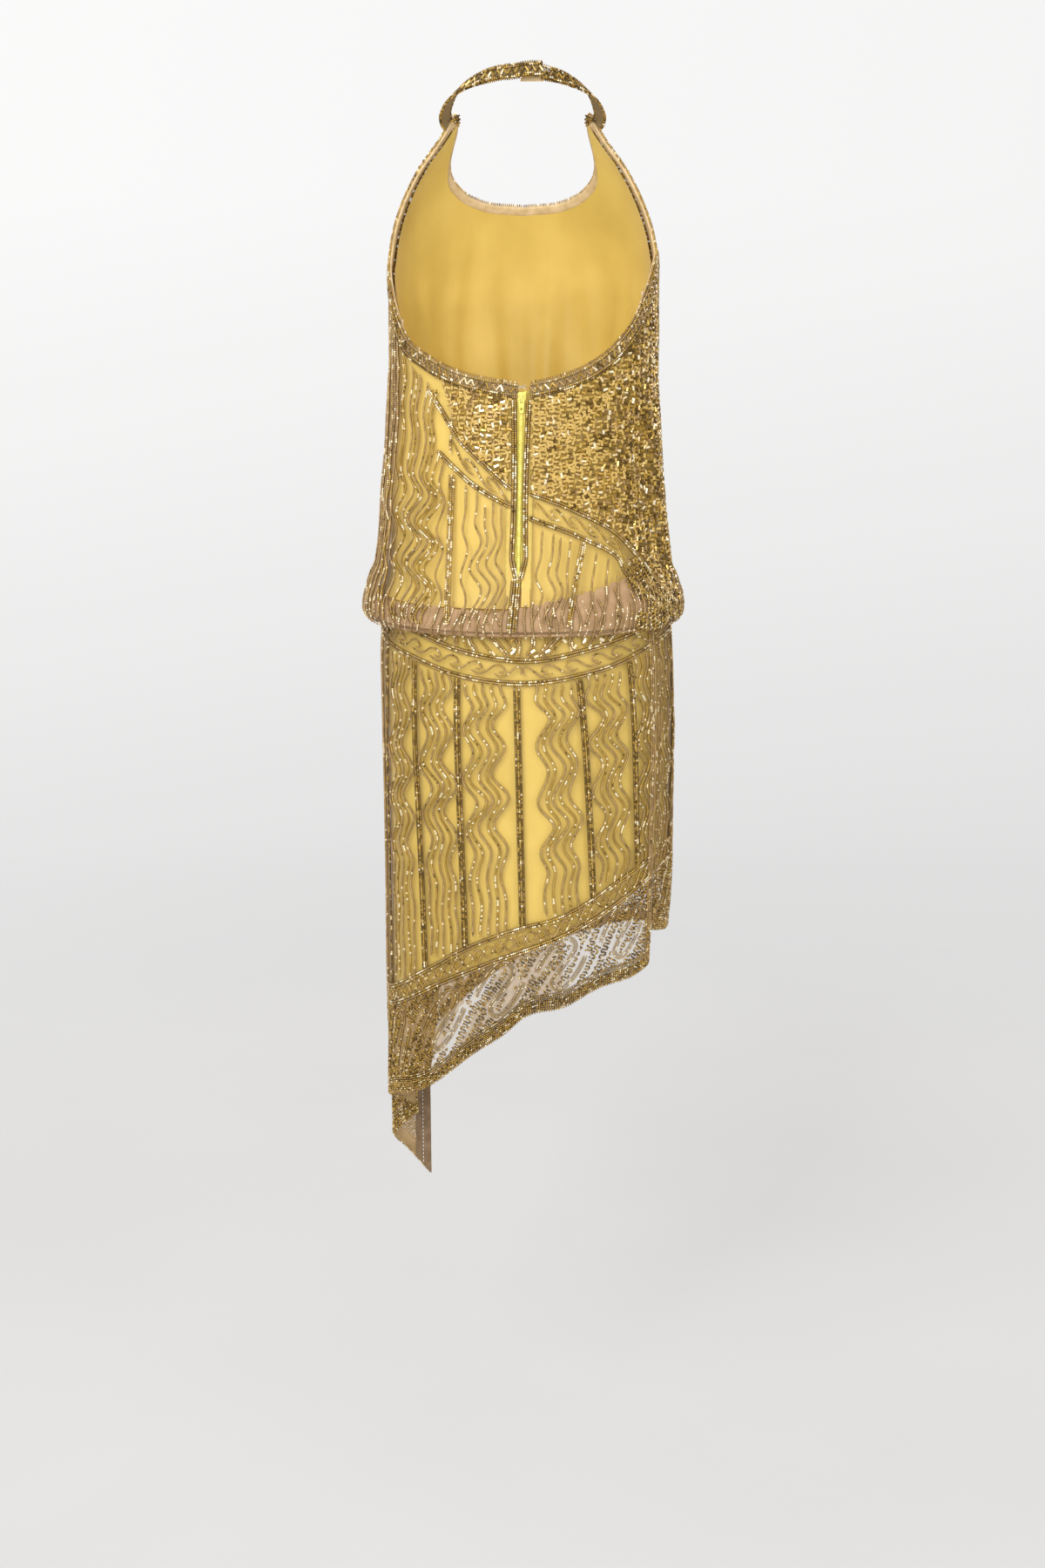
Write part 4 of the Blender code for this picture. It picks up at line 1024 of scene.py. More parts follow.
def finish(name, dark, middle, light, scale, roughness, bump=0.0, bump_scale=0.0, uv=False, **sockets):
    """A material whose colour wanders between three tones, with a fine bump."""
    made = bpy.data.materials.new(name)
    made.use_nodes = True
    tree = made.node_tree
    for socket, value in {"Roughness": roughness, **sockets}.items():
        shader_of(made)[socket.replace("_", " ")].default_value = value
    source = add_node(tree, "TexCoord", {}).outputs["UV" if uv else "Object"]
    noise = add_node(tree, "TexNoise", {"Vector": source, "Scale": scale, "Detail": 3.0})
    ramp = add_node(tree, "ValToRGB", {"Fac": noise.outputs["Fac"]})
    set_stops(ramp, ((0.32, dark), (0.5, middle), (0.68, light)))
    tree.links.new(ramp.outputs["Color"], shader_of(made)["Base Color"])
    if bump:
        fine = add_node(tree, "TexNoise", {"Vector": source, "Scale": bump_scale})
        add_bump(made, fine.outputs["Fac"], bump, 0.0004)
    return made


def net(name, dark, middle, light, alpha, scale=90):
    return finish(name, dark, middle, light, scale, 0.75, uv=True, Alpha=alpha)


def satin(name, dark, middle, light, scale, roughness=0.5):
    return finish(name, dark, middle, light, scale, roughness, uv=True)


def bead(name, dark, middle, light, scale, roughness, metallic, specular):
    return finish(name, dark, middle, light, scale, roughness, Metallic=metallic, Specular_IOR_Level=specular)


def weave(made):
    """Adds crossed threads to a material's bump, along its UV map."""
    tree = made.node_tree
    source = add_node(tree, "TexCoord", {}).outputs["UV"]
    given = {"Vector": source, "Scale": WEAVE_THREADS * 0.314 / 2, "Distortion": 0.6}
    waves = [add_node(tree, "TexWave", given, bands_direction=way).outputs["Fac"] for way in "XY"]
    height = add_node(tree, "Math", dict(enumerate(waves)), operation="ADD")
    add_bump(made, height.outputs[0], 0.25, 0.0001)


NET = net("sheer_net", (0.42, 0.28, 0.13), (0.48, 0.325, 0.16), (0.54, 0.375, 0.19), 0.19, 60)
NET_FOLDED = net("folded_net", (0.42, 0.255, 0.125), (0.51, 0.315, 0.165), (0.6, 0.385, 0.21), 0.95)
NET_DOUBLE = net("double_net", (0.36, 0.228, 0.09), (0.44, 0.285, 0.122), (0.52, 0.345, 0.155), 0.76)
NET_EASED = net("eased_net", (0.36, 0.235, 0.098), (0.43, 0.285, 0.128), (0.5, 0.34, 0.16), 0.42)
# Near-opaque net at the side seams: gathered net, its darker tone partly painted shade
NET_SIDE = net("gathered_net_shaded", (0.3, 0.195, 0.078), (0.37, 0.245, 0.105), (0.45, 0.305, 0.14), 0.90)
NET_MIDDLE = net("lapped_net", (0.33, 0.208, 0.07), (0.4, 0.252, 0.093), (0.47, 0.3, 0.12), 0.64)
# A browner net under the dense bugles: painted shade in the gaps between them
NET_DENSE = net("shaded_bead_ground", (0.3, 0.185, 0.038), (0.37, 0.235, 0.052), (0.44, 0.285, 0.07), 0.55)
# The folded allowance of the long corner: several layers of net, darkened further as painted shade on the
# corner's inner side
NET_HEM = finish(
    "shaded_turned_net", (0.15, 0.09, 0.042), (0.19, 0.118, 0.058), (0.24, 0.155, 0.08),
    90, 0.8, uv=True, Alpha=0.96,
)
NET_BAND = finish(
    "band_net", (0.21, 0.145, 0.062), (0.27, 0.19, 0.086), (0.28, 0.19, 0.08),
    120, 0.8, uv=True,
)
NETS = [NET, NET_FOLDED, NET_SIDE, NET_DENSE, NET_DOUBLE, NET_MIDDLE, NET_EASED]
OPEN, FOLDED, SIDE, DENSE, DOUBLE, MIDDLE, EASED = range(7)
SATIN_EDGE = satin("lining_edge", (0.76, 0.545, 0.1), (0.83, 0.6, 0.118), (0.88, 0.64, 0.135), 40)
SATIN = satin("golden_lining", (0.79, 0.568, 0.094), (0.86, 0.625, 0.113), (0.91, 0.668, 0.132), 14)
# Lighter and darker copies of one satin: painted light and painted shade on the bodice lining
SATIN_SHADED_SIDE = satin("shaded_side_lining", (0.71, 0.505, 0.09), (0.79, 0.565, 0.108), (0.86, 0.62, 0.128), 12)
SATIN_LIT = satin("lit_lining", (0.89, 0.64, 0.115), (0.97, 0.705, 0.14), (1.0, 0.74, 0.165), 14)
SATIN_SHADED_INSIDE = satin("shaded_inner_lining", (0.62, 0.43, 0.085), (0.7, 0.495, 0.105), (0.77, 0.555, 0.13), 9, 0.55)
for lining in (SATIN, SATIN_LIT, SATIN_SHADED_SIDE, SATIN_SHADED_INSIDE):
    shader_of(lining)["Sheen Weight"].default_value = 0.15
    weave(lining)
BINDING = finish(
    "pale_binding", (0.58, 0.42, 0.2), (0.68, 0.5, 0.26), (0.76, 0.58, 0.33),
    120, 0.7, bump=0.4, bump_scale=1500,
)
RIBBON = finish(
    "pink_ribbon", (0.74, 0.55, 0.46), (0.82, 0.64, 0.56), (0.88, 0.72, 0.64),
    150, 0.45, bump=0.3, bump_scale=1800,
)
TAPE = finish(
    "lemon_tape", (0.62, 0.53, 0.07), (0.74, 0.64, 0.1), (0.82, 0.72, 0.15),
    300, 0.75, bump=0.6, bump_scale=2600,
)
ENAMEL = finish(
    "lemon_enamel", (0.72, 0.64, 0.1), (0.82, 0.74, 0.16), (0.88, 0.8, 0.22),
    200, 0.28, bump=0.1, bump_scale=900,
)
shader_of(ENAMEL)["Coat Weight"].default_value = 0.5
WIRE = finish(
    "nickel_wire", (0.42, 0.42, 0.42), (0.55, 0.55, 0.55), (0.68, 0.68, 0.68),
    400, 0.3, Metallic=0.9,
)
THREAD = finish("white_thread", (0.78, 0.76, 0.72), (0.86, 0.84, 0.8), (0.92, 0.9, 0.86), 600, 0.8)
BEAD_TAUPE = bead(
    "taupe_bead", (0.33, 0.2, 0.072), (0.44, 0.28, 0.108), (0.57, 0.38, 0.165), 120, 0.26, 0.45, 0.5,
)
BEAD_GOLD = bead(
    "gold_bead", (0.35, 0.2, 0.03), (0.48, 0.295, 0.05), (0.62, 0.405, 0.088), 120, 0.22, 0.4, 0.5,
)
# Near-white beads: painted glints; the fine pale rows use them too
BEAD_PALE_PAINTED_GLINT = bead(
    "pale_painted_glint_bead", (0.82, 0.62, 0.29), (0.98, 0.82, 0.5), (1.0, 0.94, 0.72), 200, 0.10, 0.3, 1.0,
)
BEAD_BRONZE = bead(
    "bronze_bead", (0.11, 0.06, 0.01), (0.17, 0.098, 0.019), (0.25, 0.15, 0.034), 120, 0.28, 0.55, 0.5,
)
BEAD_HONEY = bead(
    "honey_bead", (0.51, 0.338, 0.086), (0.59, 0.398, 0.11), (0.67, 0.465, 0.145), 160, 0.44, 0.0, 0.4,
)
# Strips under the bead rows: the couching thread, darkened into painted shade of the beads; the soft one is a
# fainter painted shade between rows
BEAD_SHADE = finish(
    "thread_shade", (0.085, 0.052, 0.012), (0.12, 0.075, 0.018), (0.16, 0.105, 0.028),
    300, 0.8, Alpha=0.6,
)
BEAD_SOFT_SHADE = finish(
    "soft_thread_shade", (0.2, 0.126, 0.036), (0.25, 0.163, 0.05), (0.31, 0.205, 0.068),
    300, 0.8, Alpha=0.34,
)
BEADS = [BEAD_TAUPE, BEAD_GOLD, BEAD_PALE_PAINTED_GLINT, BEAD_BRONZE, BEAD_HONEY, BEAD_SHADE, BEAD_SOFT_SHADE]
PAPER = finish("studio_floor", (0.595, 0.592, 0.588), (0.605, 0.602, 0.598), (0.615, 0.612, 0.608), 1.5, 0.9)
NODE_FINISHES = (
    (BINDING, "strap_underlap"),
    (RIBBON, "stay_tab_left stay_tab_right"),
    (TAPE, "zip_tape_left zip_tape_right"),
    (ENAMEL, "zip_slider zip_pull"),
    (WIRE, "back_hook back_eye neck_hook neck_eye"),
)


# Cloth


def degrees_range(low, high, step):
    return np.radians(np.linspace(low, high, max(int((high - low) / step), 2)))


def grid(angle, course_of, rows):
    """Angles and courses of a grid: course_of gives each column's courses for shares from 0 to 1."""
    share = np.linspace(0, 1, rows)[:, None]
    return np.tile(angle, (rows, 1)), course_of(angle[None], share)


def from_to(top_of, low_of):
    """Courses from one line to another."""
    return lambda angle, share: top_of(angle) + share * (low_of(angle) - top_of(angle))


def side_zone(at, seam, half):
    """The net of each face near a side seam, which opens in steps of three degrees: gathered net at the seam,
    darker there partly as painted shade where the sides turn from the light.
    """
    away = np.abs(np.abs(np.degrees(signed(at[:-1, :-1]))) - seam) - half
    return np.select([away < 0, away < 3, away < 6, away < 9], [SIDE, DOUBLE, MIDDLE, EASED], OPEN)


def bodice_net(name, low, high, node):
    course_of = from_to(lambda angle: neck_edge(angle) + 0.002, lambda angle: FOLD_DROP + 0.040)
    at, course = grid(degrees_range(low, high, 1.6), course_of, 76)
    if node != "bodice_front":
        side, near = (1, 0) if low > 0 else (-1, -1)
        drop = np.minimum(course[:, 0], FOLD_DROP)
        gap = np.where(drop > ZIP_LOW + 0.004, SEAM_GAP / 2, ZIP_HALF_GAP)
        share = ease(1 - np.abs(at - at[:, [near]]) / math.radians(10))
        at = at + share * (zip_angle(drop, side * gap) - at[:, near])[:, None]
    here, down = at[:-1, :-1], course[:-1, :-1]
    zones = [down > FOLD_DROP + 0.006, dense_cloth(here, down)]
    index = np.select(zones, [FOLDED, DENSE], side_zone(at, SIDE_SEAM, 15))
    return shell(name, bodice, at, course, NET_LIFT, NETS, node, index)


def hem_strip(name, low, high):
    """The net's folded hem inside the blouse's edge, which hides the lining there."""

    def top_of(at):
        uneven = 0.0012 * np.sin(at * 61) + 0.0008 * np.sin(at * 143)
        return edge_drop(LINING_EDGE, np.degrees(signed(at))) + uneven

    at, course = grid(degrees_range(low, high, 1.2), from_to(top_of, lambda at: FOLD_DROP + 0.004), 12)
    return shell(name, bodice, at, course, -0.0012, [NET_FOLDED])


def bodice_lining():
    angle = np.concatenate([degrees_range(4, 180, 2.4), degrees_range(180, 356, 2.4)[1:]])
    angle[0], angle[-1] = zip_angle(0.38, 0.0085), 2 * math.pi + zip_angle(0.38, -0.0085)
    course_of = from_to(lambda at: neck_edge(at) + 0.6 * band_drop(at), lambda at: SEAM_DROP - 0.0009)
    at, course = grid(angle, course_of, 60)
    # Painted light and shade: the lining is lighter where it faces the lamps, darker as it turns to the
    # sides, and darkest inside the front
    facing = np.cos(at[:-1, :-1])
    index = np.select([facing > 0.30, facing > 0.12, facing > -0.08], [0, 1, 2], 3)
    satins = [SATIN_LIT, SATIN, SATIN_SHADED_SIDE, SATIN_SHADED_INSIDE]
    name = "lining_bodice"
    return shell(name, bodice_lining_face, at, course, 0.0, satins, "bodice_lining", index)


def skirt_net(name, surface, low, high, hem, node, step):
    course_of = from_to(lambda at: SEAM_DROP, lambda at: edge_drop(hem, np.degrees(at)))
    at, course = grid(degrees_range(low, high, step), course_of, 100)
    degrees, drop = np.degrees(at[:-1, :-1]), course[:-1, :-1]
    border = drop > edge_drop(hem, degrees) - 0.0150
    corner = (degrees < -98) & (drop > CASCADE_TOP)
    side = side_zone(at, 88, 7)
    open_wedge = np.abs(degrees + 17 + 28 * (drop - 0.89) / 0.14) < 4
    lapped = (drop > band_low(at[:-1, :-1]) - 0.004) & (degrees < 16) & (degrees > -98) & ~open_wedge
    zones = [border | corner, lapped & ((degrees < -50) | (side > 0)), side > 0, lapped]
    index = np.select(zones, [DOUBLE, SIDE, side, MIDDLE], OPEN)
    return shell(name, surface, at, course, NET_LIFT, NETS, node, index)


def skirt_lining():
    angle = np.radians(np.linspace(-180, 180, 151)[:-1])
    course_of = from_to(lambda at: SEAM_DROP + 0.0006, lambda at: edge_drop(SKIRT_LINING_HEM, np.degrees(at)))
    at, course = grid(angle, course_of, 70)
    name = "lining_skirt"
    return shell(name, skirt_lining_face, at, course, 0.0, [SATIN], "skirt_lining", closed=True)


def band_cloth(name, side, node):
    """The net ground of the beaded band."""
    at, share = grid(side * degrees_range(3.2, 180, 1.2)[::side], lambda a, s: s + 0 * a, 5)
    return shell(name, edge_band, at, share, 0.0020, [NET_BAND], node)


def facing_cloth(name, side, node):
    """The pale facing inside the edge, with its rolled top."""
    angle = side * degrees_range(5.6, 180, 1.2)[::side]
    share, lift = np.transpose(FACING_PROFILE)[..., None]
    at = np.tile(angle, (len(share), 1))
    return shell(name, edge_band, at, share + 0 * angle[None], lift, [BINDING], node)


def strap_cloth(name, surface, node):
    along, over = np.meshgrid(np.linspace(0, surface.length, 60), np.linspace(-1, 1, 7))
    return shell(name, surface, along, over, 0.0010, [NET_BAND], node)


def zip_edge(name, side):
    """The lining's folded edge over the outer part of a zip tape."""
    drop = np.linspace(ZIP_TOP + 0.004, ZIP_LOW + 0.022, 50)
    course = np.tile(drop[:, None], (1, 5))
    at = zip_angle(course, side * np.linspace(0.0034, 0.0118, 5)[::side])
    return shell(name, bodice, at, course, -0.0002, [SATIN_EDGE])


def corner_allowance():
    """The folded allowance down the free edge of the long corner, with its row of running stitches."""
    angle = np.radians(np.linspace(-127.9, -120.5, 6))
    drop = np.linspace(CASCADE_TOP, 1.188, 60)
    share = (drop - drop[0]) / (drop[-1] - drop[0])
    low = edge_drop(BACK_HEM, np.degrees(angle))
    course = drop[0] + share[:, None] * (low[None] - 0.001 - drop[0])
    at = np.tile(angle, (60, 1))
    made = shell("corner_allowance", skirt_back, at, course, -0.0004, [NET_HEM])
    stitches = Beadwork()
    line = np.linspace(0.990, 1.180, 150)
    at, down = spaced(skirt_back, np.radians(-124.0) + 0 * line, line, 0.0046)
    point, _, down_it, normal = on(skirt_back, at, down, -0.0012)
    stitches.add("seed", point, down_it, normal, 0.0026, 0.00045, 0)
    return made, stitches.build("corner_stitches", [THREAD], "beaded_net")


def zip_teeth():
    """The closed coil: short bars across the middle line, in two rows that mesh."""
    work = Beadwork()
    for side in (-1, 1):
        here = np.arange(0.3125, ZIP_LOW, TOOTH_PITCH) + (TOOTH_PITCH / 2 if side > 0 else 0)
        here = here[here < ZIP_LOW]
        point, round_it, _, normal = on(bodice, zip_angle(here, side * 0.0008), here, 0.0006)
        work.add("tooth", point, round_it, normal, 0.0024, 0.00052, 0)
    work.build("zip_teeth", [ENAMEL], "zip_metal", "zip_chain")


# Beadwork of the bodice


def dense_cloth(angle, drop):
    """Where the cloth lies under the dense field of bugles."""
    degrees = np.degrees(signed(angle))
    round_front = np.where(degrees < 0, degrees + 360, degrees)
    upper = np.interp(angle, *back_line(bodice, BAND_UPPER, 160))
    on_back = (drop < upper - 0.001) & (degrees > -41 + (drop - 0.295) * 149)
    on_front = drop < edge_drop(FRONT_SLOPE, round_front) - 0.001
    return np.where(np.abs(degrees) < SIDE_SEAM, on_back, on_front)


def back_angle(surface, x, drop):
    """The angle on the back half where the surface has this x."""
    low, high = np.full(np.shape(x), -math.pi / 2), np.full(np.shape(x), math.pi / 2)
    for _ in range(30):
        middle = (low + high) / 2
        right = surface(middle, drop)[..., 0] > x
        high = np.where(right, middle, high)
        low = np.where(right, low, middle)
    return (low + high) / 2


def back_line(surface, places, count):
    """A smooth line through (x, drop) places on the back, as angles and drops."""
    x, drop = curve(places, count)
    return back_angle(surface, x, drop), drop


def bugle_field(rows, low, high, pitch, radius, aside, down, wander, keep):
    """Close rows of short bugles that lie level and upright in turn, as angles, drops and headings."""
    found, across = [], pitch / radius
    for number, drop in enumerate(rows):
        angle = np.arange(math.radians(low), math.radians(high), across) + 0.5 * (number % 2) * across
        angle = angle + RANDOM.uniform(-aside, aside, len(angle)) / radius
        here = drop + RANDOM.uniform(-down, down, len(angle)) + wander(angle, drop)
        held = keep(angle, here) & (here > neck_edge(angle) + band_drop(angle) + 0.001)
        turn = np.where((np.arange(len(angle)) + number) % 2 == 0, 0.0, math.pi / 2)
        turn = turn + RANDOM.normal(0, 0.24, len(angle))
        found.append(np.array([angle, here, turn])[:, held])
    return np.concatenate(found, axis=1)


def zip_rows(work):
    """The bead rows beside the zip, which meet below it and run on to the fold."""
    drop = np.linspace(0.309, 0.486, 90)
    away = 0.0074 - 0.0018 * np.sin((drop - 0.309) / 0.177 * math.pi)
    away = away * (1 - 0.75 * ease((drop - 0.462) / 0.026))
    for side in (-1, 1):
        double_row(work, bodice, zip_angle(drop, side * away), drop, 9)
    drop = np.linspace(0.484, FOLD_DROP + 0.004, 30)
    for x_top, x_low in ((-0.0085, -0.0140), (-0.0035, -0.0085)):
        angle = back_angle(bodice, np.linspace(x_top, x_low, 30), np.minimum(drop, 0.53))
        double_row(work, bodice, angle, drop, 2, 0.0011, MIX_PAINTED_GLINTS)


def bodice_back_beads():
    """The rows beside the zip, the slanted band, the dense field above it and the rows under it."""
    work = Beadwork()
    zip_rows(work)
    upper, lower = (np.array(back_line(bodice, places, 160)) for places in (BAND_UPPER, BAND_LOWER))
    for line in (upper, lower):
        clear = np.abs(line[0] - zip_angle(line[1])) >= math.radians(4.2)
        for part in stretches(clear, 5):
            double_row(work, bodice, *line[:, part], 8)

    def upper_at(angle):
        return np.interp(angle, *upper)

    def lower_at(angle):
        return np.interp(angle, *lower)

    for low, high in ((-38.0, -5.5), (5.5, 66.0)):
        vine(work, bodice, between(upper_at, lower_at), 0.0082, low, high, motif=0.0205, mix=MIX_LINE, way=-1)

    # The upright row that parts the two fields at the left
    degrees, drop = (np.interp(np.linspace(0, 3, 50), range(4), line) for line in np.transpose(FIELD_EDGE))
    lay(work, bodice, np.radians(degrees), drop, MIX_LINE, runs=2)

    def wander(angle, drop):
        return 0.0019 * np.sin(angle * 14 + drop * 160) + 0.0012 * np.sin(angle * 31 - drop * 90)

    def keep(angle, drop):
        clear = np.abs(angle - zip_angle(drop)) > 0.1
        left = angle > math.radians(-41.5) + (drop - 0.295) * 2.6
        return (drop < upper_at(angle) - 0.0028) & (drop < 0.531) & clear & left

    rows = np.arange(0.18, 0.536, 0.0042)
    field = bugle_field(rows, -42, 91.5, 0.0044, 0.145, 0.0008, 0.0010, wander, keep)
    degrees = np.degrees(field[0])
    # More dark beads towards the right and the far left: partly darker beads at the right, partly painted
    # shade where the field turns from the light
    darker_and_shaded_share = ease((degrees - 18) / 42) + 0.24 * ease((-4 - degrees) / 10)
    dark = RANDOM.uniform(0, 1, len(degrees)) < darker_and_shaded_share
    for part, mix in ((~dark, MIX_DENSE), (dark, MIX_DARKER_AND_SHADED)):
        scattered(work, bodice, *field[:, part], mix, 0.0046, 0.00140)
    lower_field(work, upper_at, lower_at)
    return work


def wavy_row(work, row, drop, x, height, slow, mix, runs):
    """A row on the back that swings about its middle line."""
    phase = row.phase * 2 + 2 * math.pi * (drop - 0.40) / 0.050 + slow
    angle = back_angle(bodice, x + height * skewed(phase), drop)
    lay(work, bodice, angle, drop, mix, radius=0.00105, runs=runs)


def lower_field(work, upper_at, lower_at):
    """The rows under the slanted band and down the left of the back."""
    for places in BRIGHT_LINES:
        angle, drop = back_line(bodice, places, 80)
        lay(work, bodice, angle, drop, MIX_PAINTED_GLINTS, lift=BEAD_LIFT + 0.0006, radius=0.00105, runs=5)
        both_sides(work, bodice, angle, drop, 0.0021, MIX_LINE, runs=3)
    for row in RIGHT_ROWS:
        drop = np.linspace(row.top, 0.531, 110)
        height = row.height * ease((drop - row.top - 0.01) / 0.05)
        wavy_row(work, row, drop, np.linspace(row.x_top, row.x_low, 110), height, 0.0, MIX_TAUPE, row.bright)
    for row in LEFT_ROWS:
        drop = np.linspace(row.top, 0.531, 150)
        height = 1.15 * row.height * (0.25 + 0.75 * ease((drop - 0.36) / 0.05))
        x_middle = 0.35 * row.x_top + 0.65 * row.x_low
        x = np.interp(drop, [row.top, 0.45, 0.531], [row.x_top, x_middle, row.x_low])
        mix = MIX_AMBER if row.bright > 2 else MIX_TAUPE
        wavy_row(work, row, drop, x, height, 0.6 * np.sin(drop / 0.037), mix, 2 * row.bright)
    for degrees in range(-69, -91, -3):
        drop = np.linspace(float(neck_edge(np.radians(degrees))) + 0.018, 0.533, 150)
        angle = np.radians(degrees) + 0 * drop + 0.004 * np.sin(drop * 120)
        lay(work, bodice, angle, drop, MIX_TAUPE, runs=5)
    below = np.radians(np.concatenate([np.arange(-86, 40, 3.1), np.arange(40, 90, 2.1)]))
    for number, angle in enumerate(below):
        start = 0.508 - 0.012 * ease((math.degrees(angle) - 34) / 16)
        drop = np.linspace(start + RANDOM.uniform(-0.010, 0.014), FOLD_DROP + 0.012, 24)
        line = angle + RANDOM.uniform(0.010, 0.022) * np.sin(drop * 130 + angle * 5) - 0.4 * (drop - 0.52)
        if number % 3 == 0:
            lay(work, bodice, line, drop, MIX_FINE, pitch=0.003, radius=0.0005, shade=0)
        else:
            lay(work, bodice, line, drop, MIX_PALE, radius=0.00105, runs=number % 3 - 1, shade=0.0017)
    chart = Chart(bodice, 46, 91.5, 0.50)
    region = Region(chart, lambda a: upper_at(a) + 0.003, lambda a: np.minimum(lower_at(a) + 0.014, 0.536))
    lay_runs(work, chart, meanders(region, 60, apart=0.0072, wave=0.018), MIX_SCRIBBLE)
    region = Region(chart, lambda a: np.maximum(lower_at(a) + 0.012, 0.500), lambda a: 0.543 + 0 * a)
    lay_runs(work, chart, meanders(region, 80, apart=0.0090, wave=0.020), MIX_AMBER)


def bodice_front_beads():
    """The dense field at the right, waves at the left, and the slanted band between."""
    work = Beadwork(plain=True)
    slope_angle, upper_drop = np.transpose(FRONT_SLOPE)
    slope_angle = np.radians(slope_angle)

    def upper_at(angle):
        return np.interp(angle, slope_angle, upper_drop)

    def lower_at(angle):
        return np.interp(angle, slope_angle, upper_drop + 0.024)

    angle = np.radians(np.linspace(93, 267, 300))
    double_row(work, bodice, angle, upper_at(angle), 16)
    double_row(work, bodice, angle[6:], np.minimum(lower_at(angle[6:]), 0.531), 16)
    vine(work, bodice, between(upper_at, lower_at), 0.0080, 100, 262)

    def wander(angle, drop):
        return 0.0

    def keep(angle, drop):
        return drop < upper_at(angle) - 0.0028

    rows = np.arange(0.06, 0.532, 0.0046)
    field = bugle_field(rows, 92.6, 267.5, 0.0050, 0.142, 0.0012, 0.0012, wander, keep)
    scattered(work, bodice, *field, MIX_DENSE, 0.0046, 0.0015)
    for degrees in range(128, 249, 24):
        drop = np.linspace(float(lower_at(np.radians(degrees))) + 0.003, 0.533, 100)
        bar(work, bodice, np.radians(degrees) + 0 * drop, drop)
    for number, degrees in enumerate((140, 164, 188, 212, 236, 258)):
        top = float(lower_at(np.radians(degrees))) + 0.006
        waves = Waves(degrees, degrees, top, 5, 0.034, 0.0055, 0.056, 0.7 * number, 0.52, 0.60)
        wave_lines(work, bodice, waves, lambda angle: 0.534)
    return work


def neckband_beads():
    """The beaded band: spiky beads on the edge, rows along both sides and zigzag bugles between."""
    work = Beadwork()
    for side in (-1, 1):
        line = side * np.radians(np.linspace(3.3, 179.8, 900))
        for share, mix in ((0.10, MIX_LINE), (0.80, MIX_LINE), (0.95, MIX_BRONZE)):
            lay(work, edge_band, line, share + 0 * line, mix, lift=0.0030, runs=8)
        zigzag(work, edge_band, line, 0.45, 0.0036, 0.0031, 0.62, 0.0066, MIX_ZIGZAG, square=True)
        spread, size = (0.1, 0.9), (0.0030, 0.0008)
        spikes(work, edge_band, line, 0 * line, -1, 0.0021, 0.0020, 0.0006, spread, size, MIX_LINE, -0.02)
        at, _ = spaced(edge_band, line, 0.5 + 0 * line, 0.0030)
        share, heading = RANDOM.uniform(0.18, 0.72, len(at)), RANDOM.uniform(0, 3.1, len(at))
        scattered(work, edge_band, at, share, heading, MIX_TAUPE, 0.0026, 0.0009, 0.0026)
    return work


def strap_beads(surfaces):
    work = Beadwork()
    for surface in surfaces:
        line = np.linspace(0.02, surface.length - 0.02, 500)
        for over, mix in ((-0.86, MIX_STRAP), (-0.62, MIX_BRONZE), (0.62, MIX_BRONZE), (0.86, MIX_STRAP)):
            lay(work, surface, line, over + 0 * line, mix, lift=0.0026, runs=5)
        zigzag(work, surface, line, 0.0, 0.0034, 0.0027, 0.6, 0.0062, MIX_STRAP)
        for over in (-1, 1):
            edge, spread, size = over + 0 * line, (0.0, 0.8), (0.0028, 0.0009)
            spikes(work, surface, line, edge, over, 0.0022, 0.0014, 0.0004, spread, size, MIX_STRAP)
    return work


# Beadwork of the skirt


def hook_line(one, centre, offset):
    """A slanted double hook on the chart, moved sideways by an offset."""
    half = np.array(HOOK)
    along, across = curve(np.concatenate([-half[:0:-1], half]), 150)
    along, across = along * one.length / 2, across * one.width
    step_along, step_across = np.gradient(along), np.gradient(across)
    size = np.hypot(step_along, step_across)
    along, across = along - offset * step_across / size, across + offset * step_along / size
    lean = math.radians(one.tilt)
    reach = centre[0] + along * math.cos(lean) - across * math.sin(lean)
    return reach, centre[1] + along * math.sin(lean) + across * math.cos(lean)


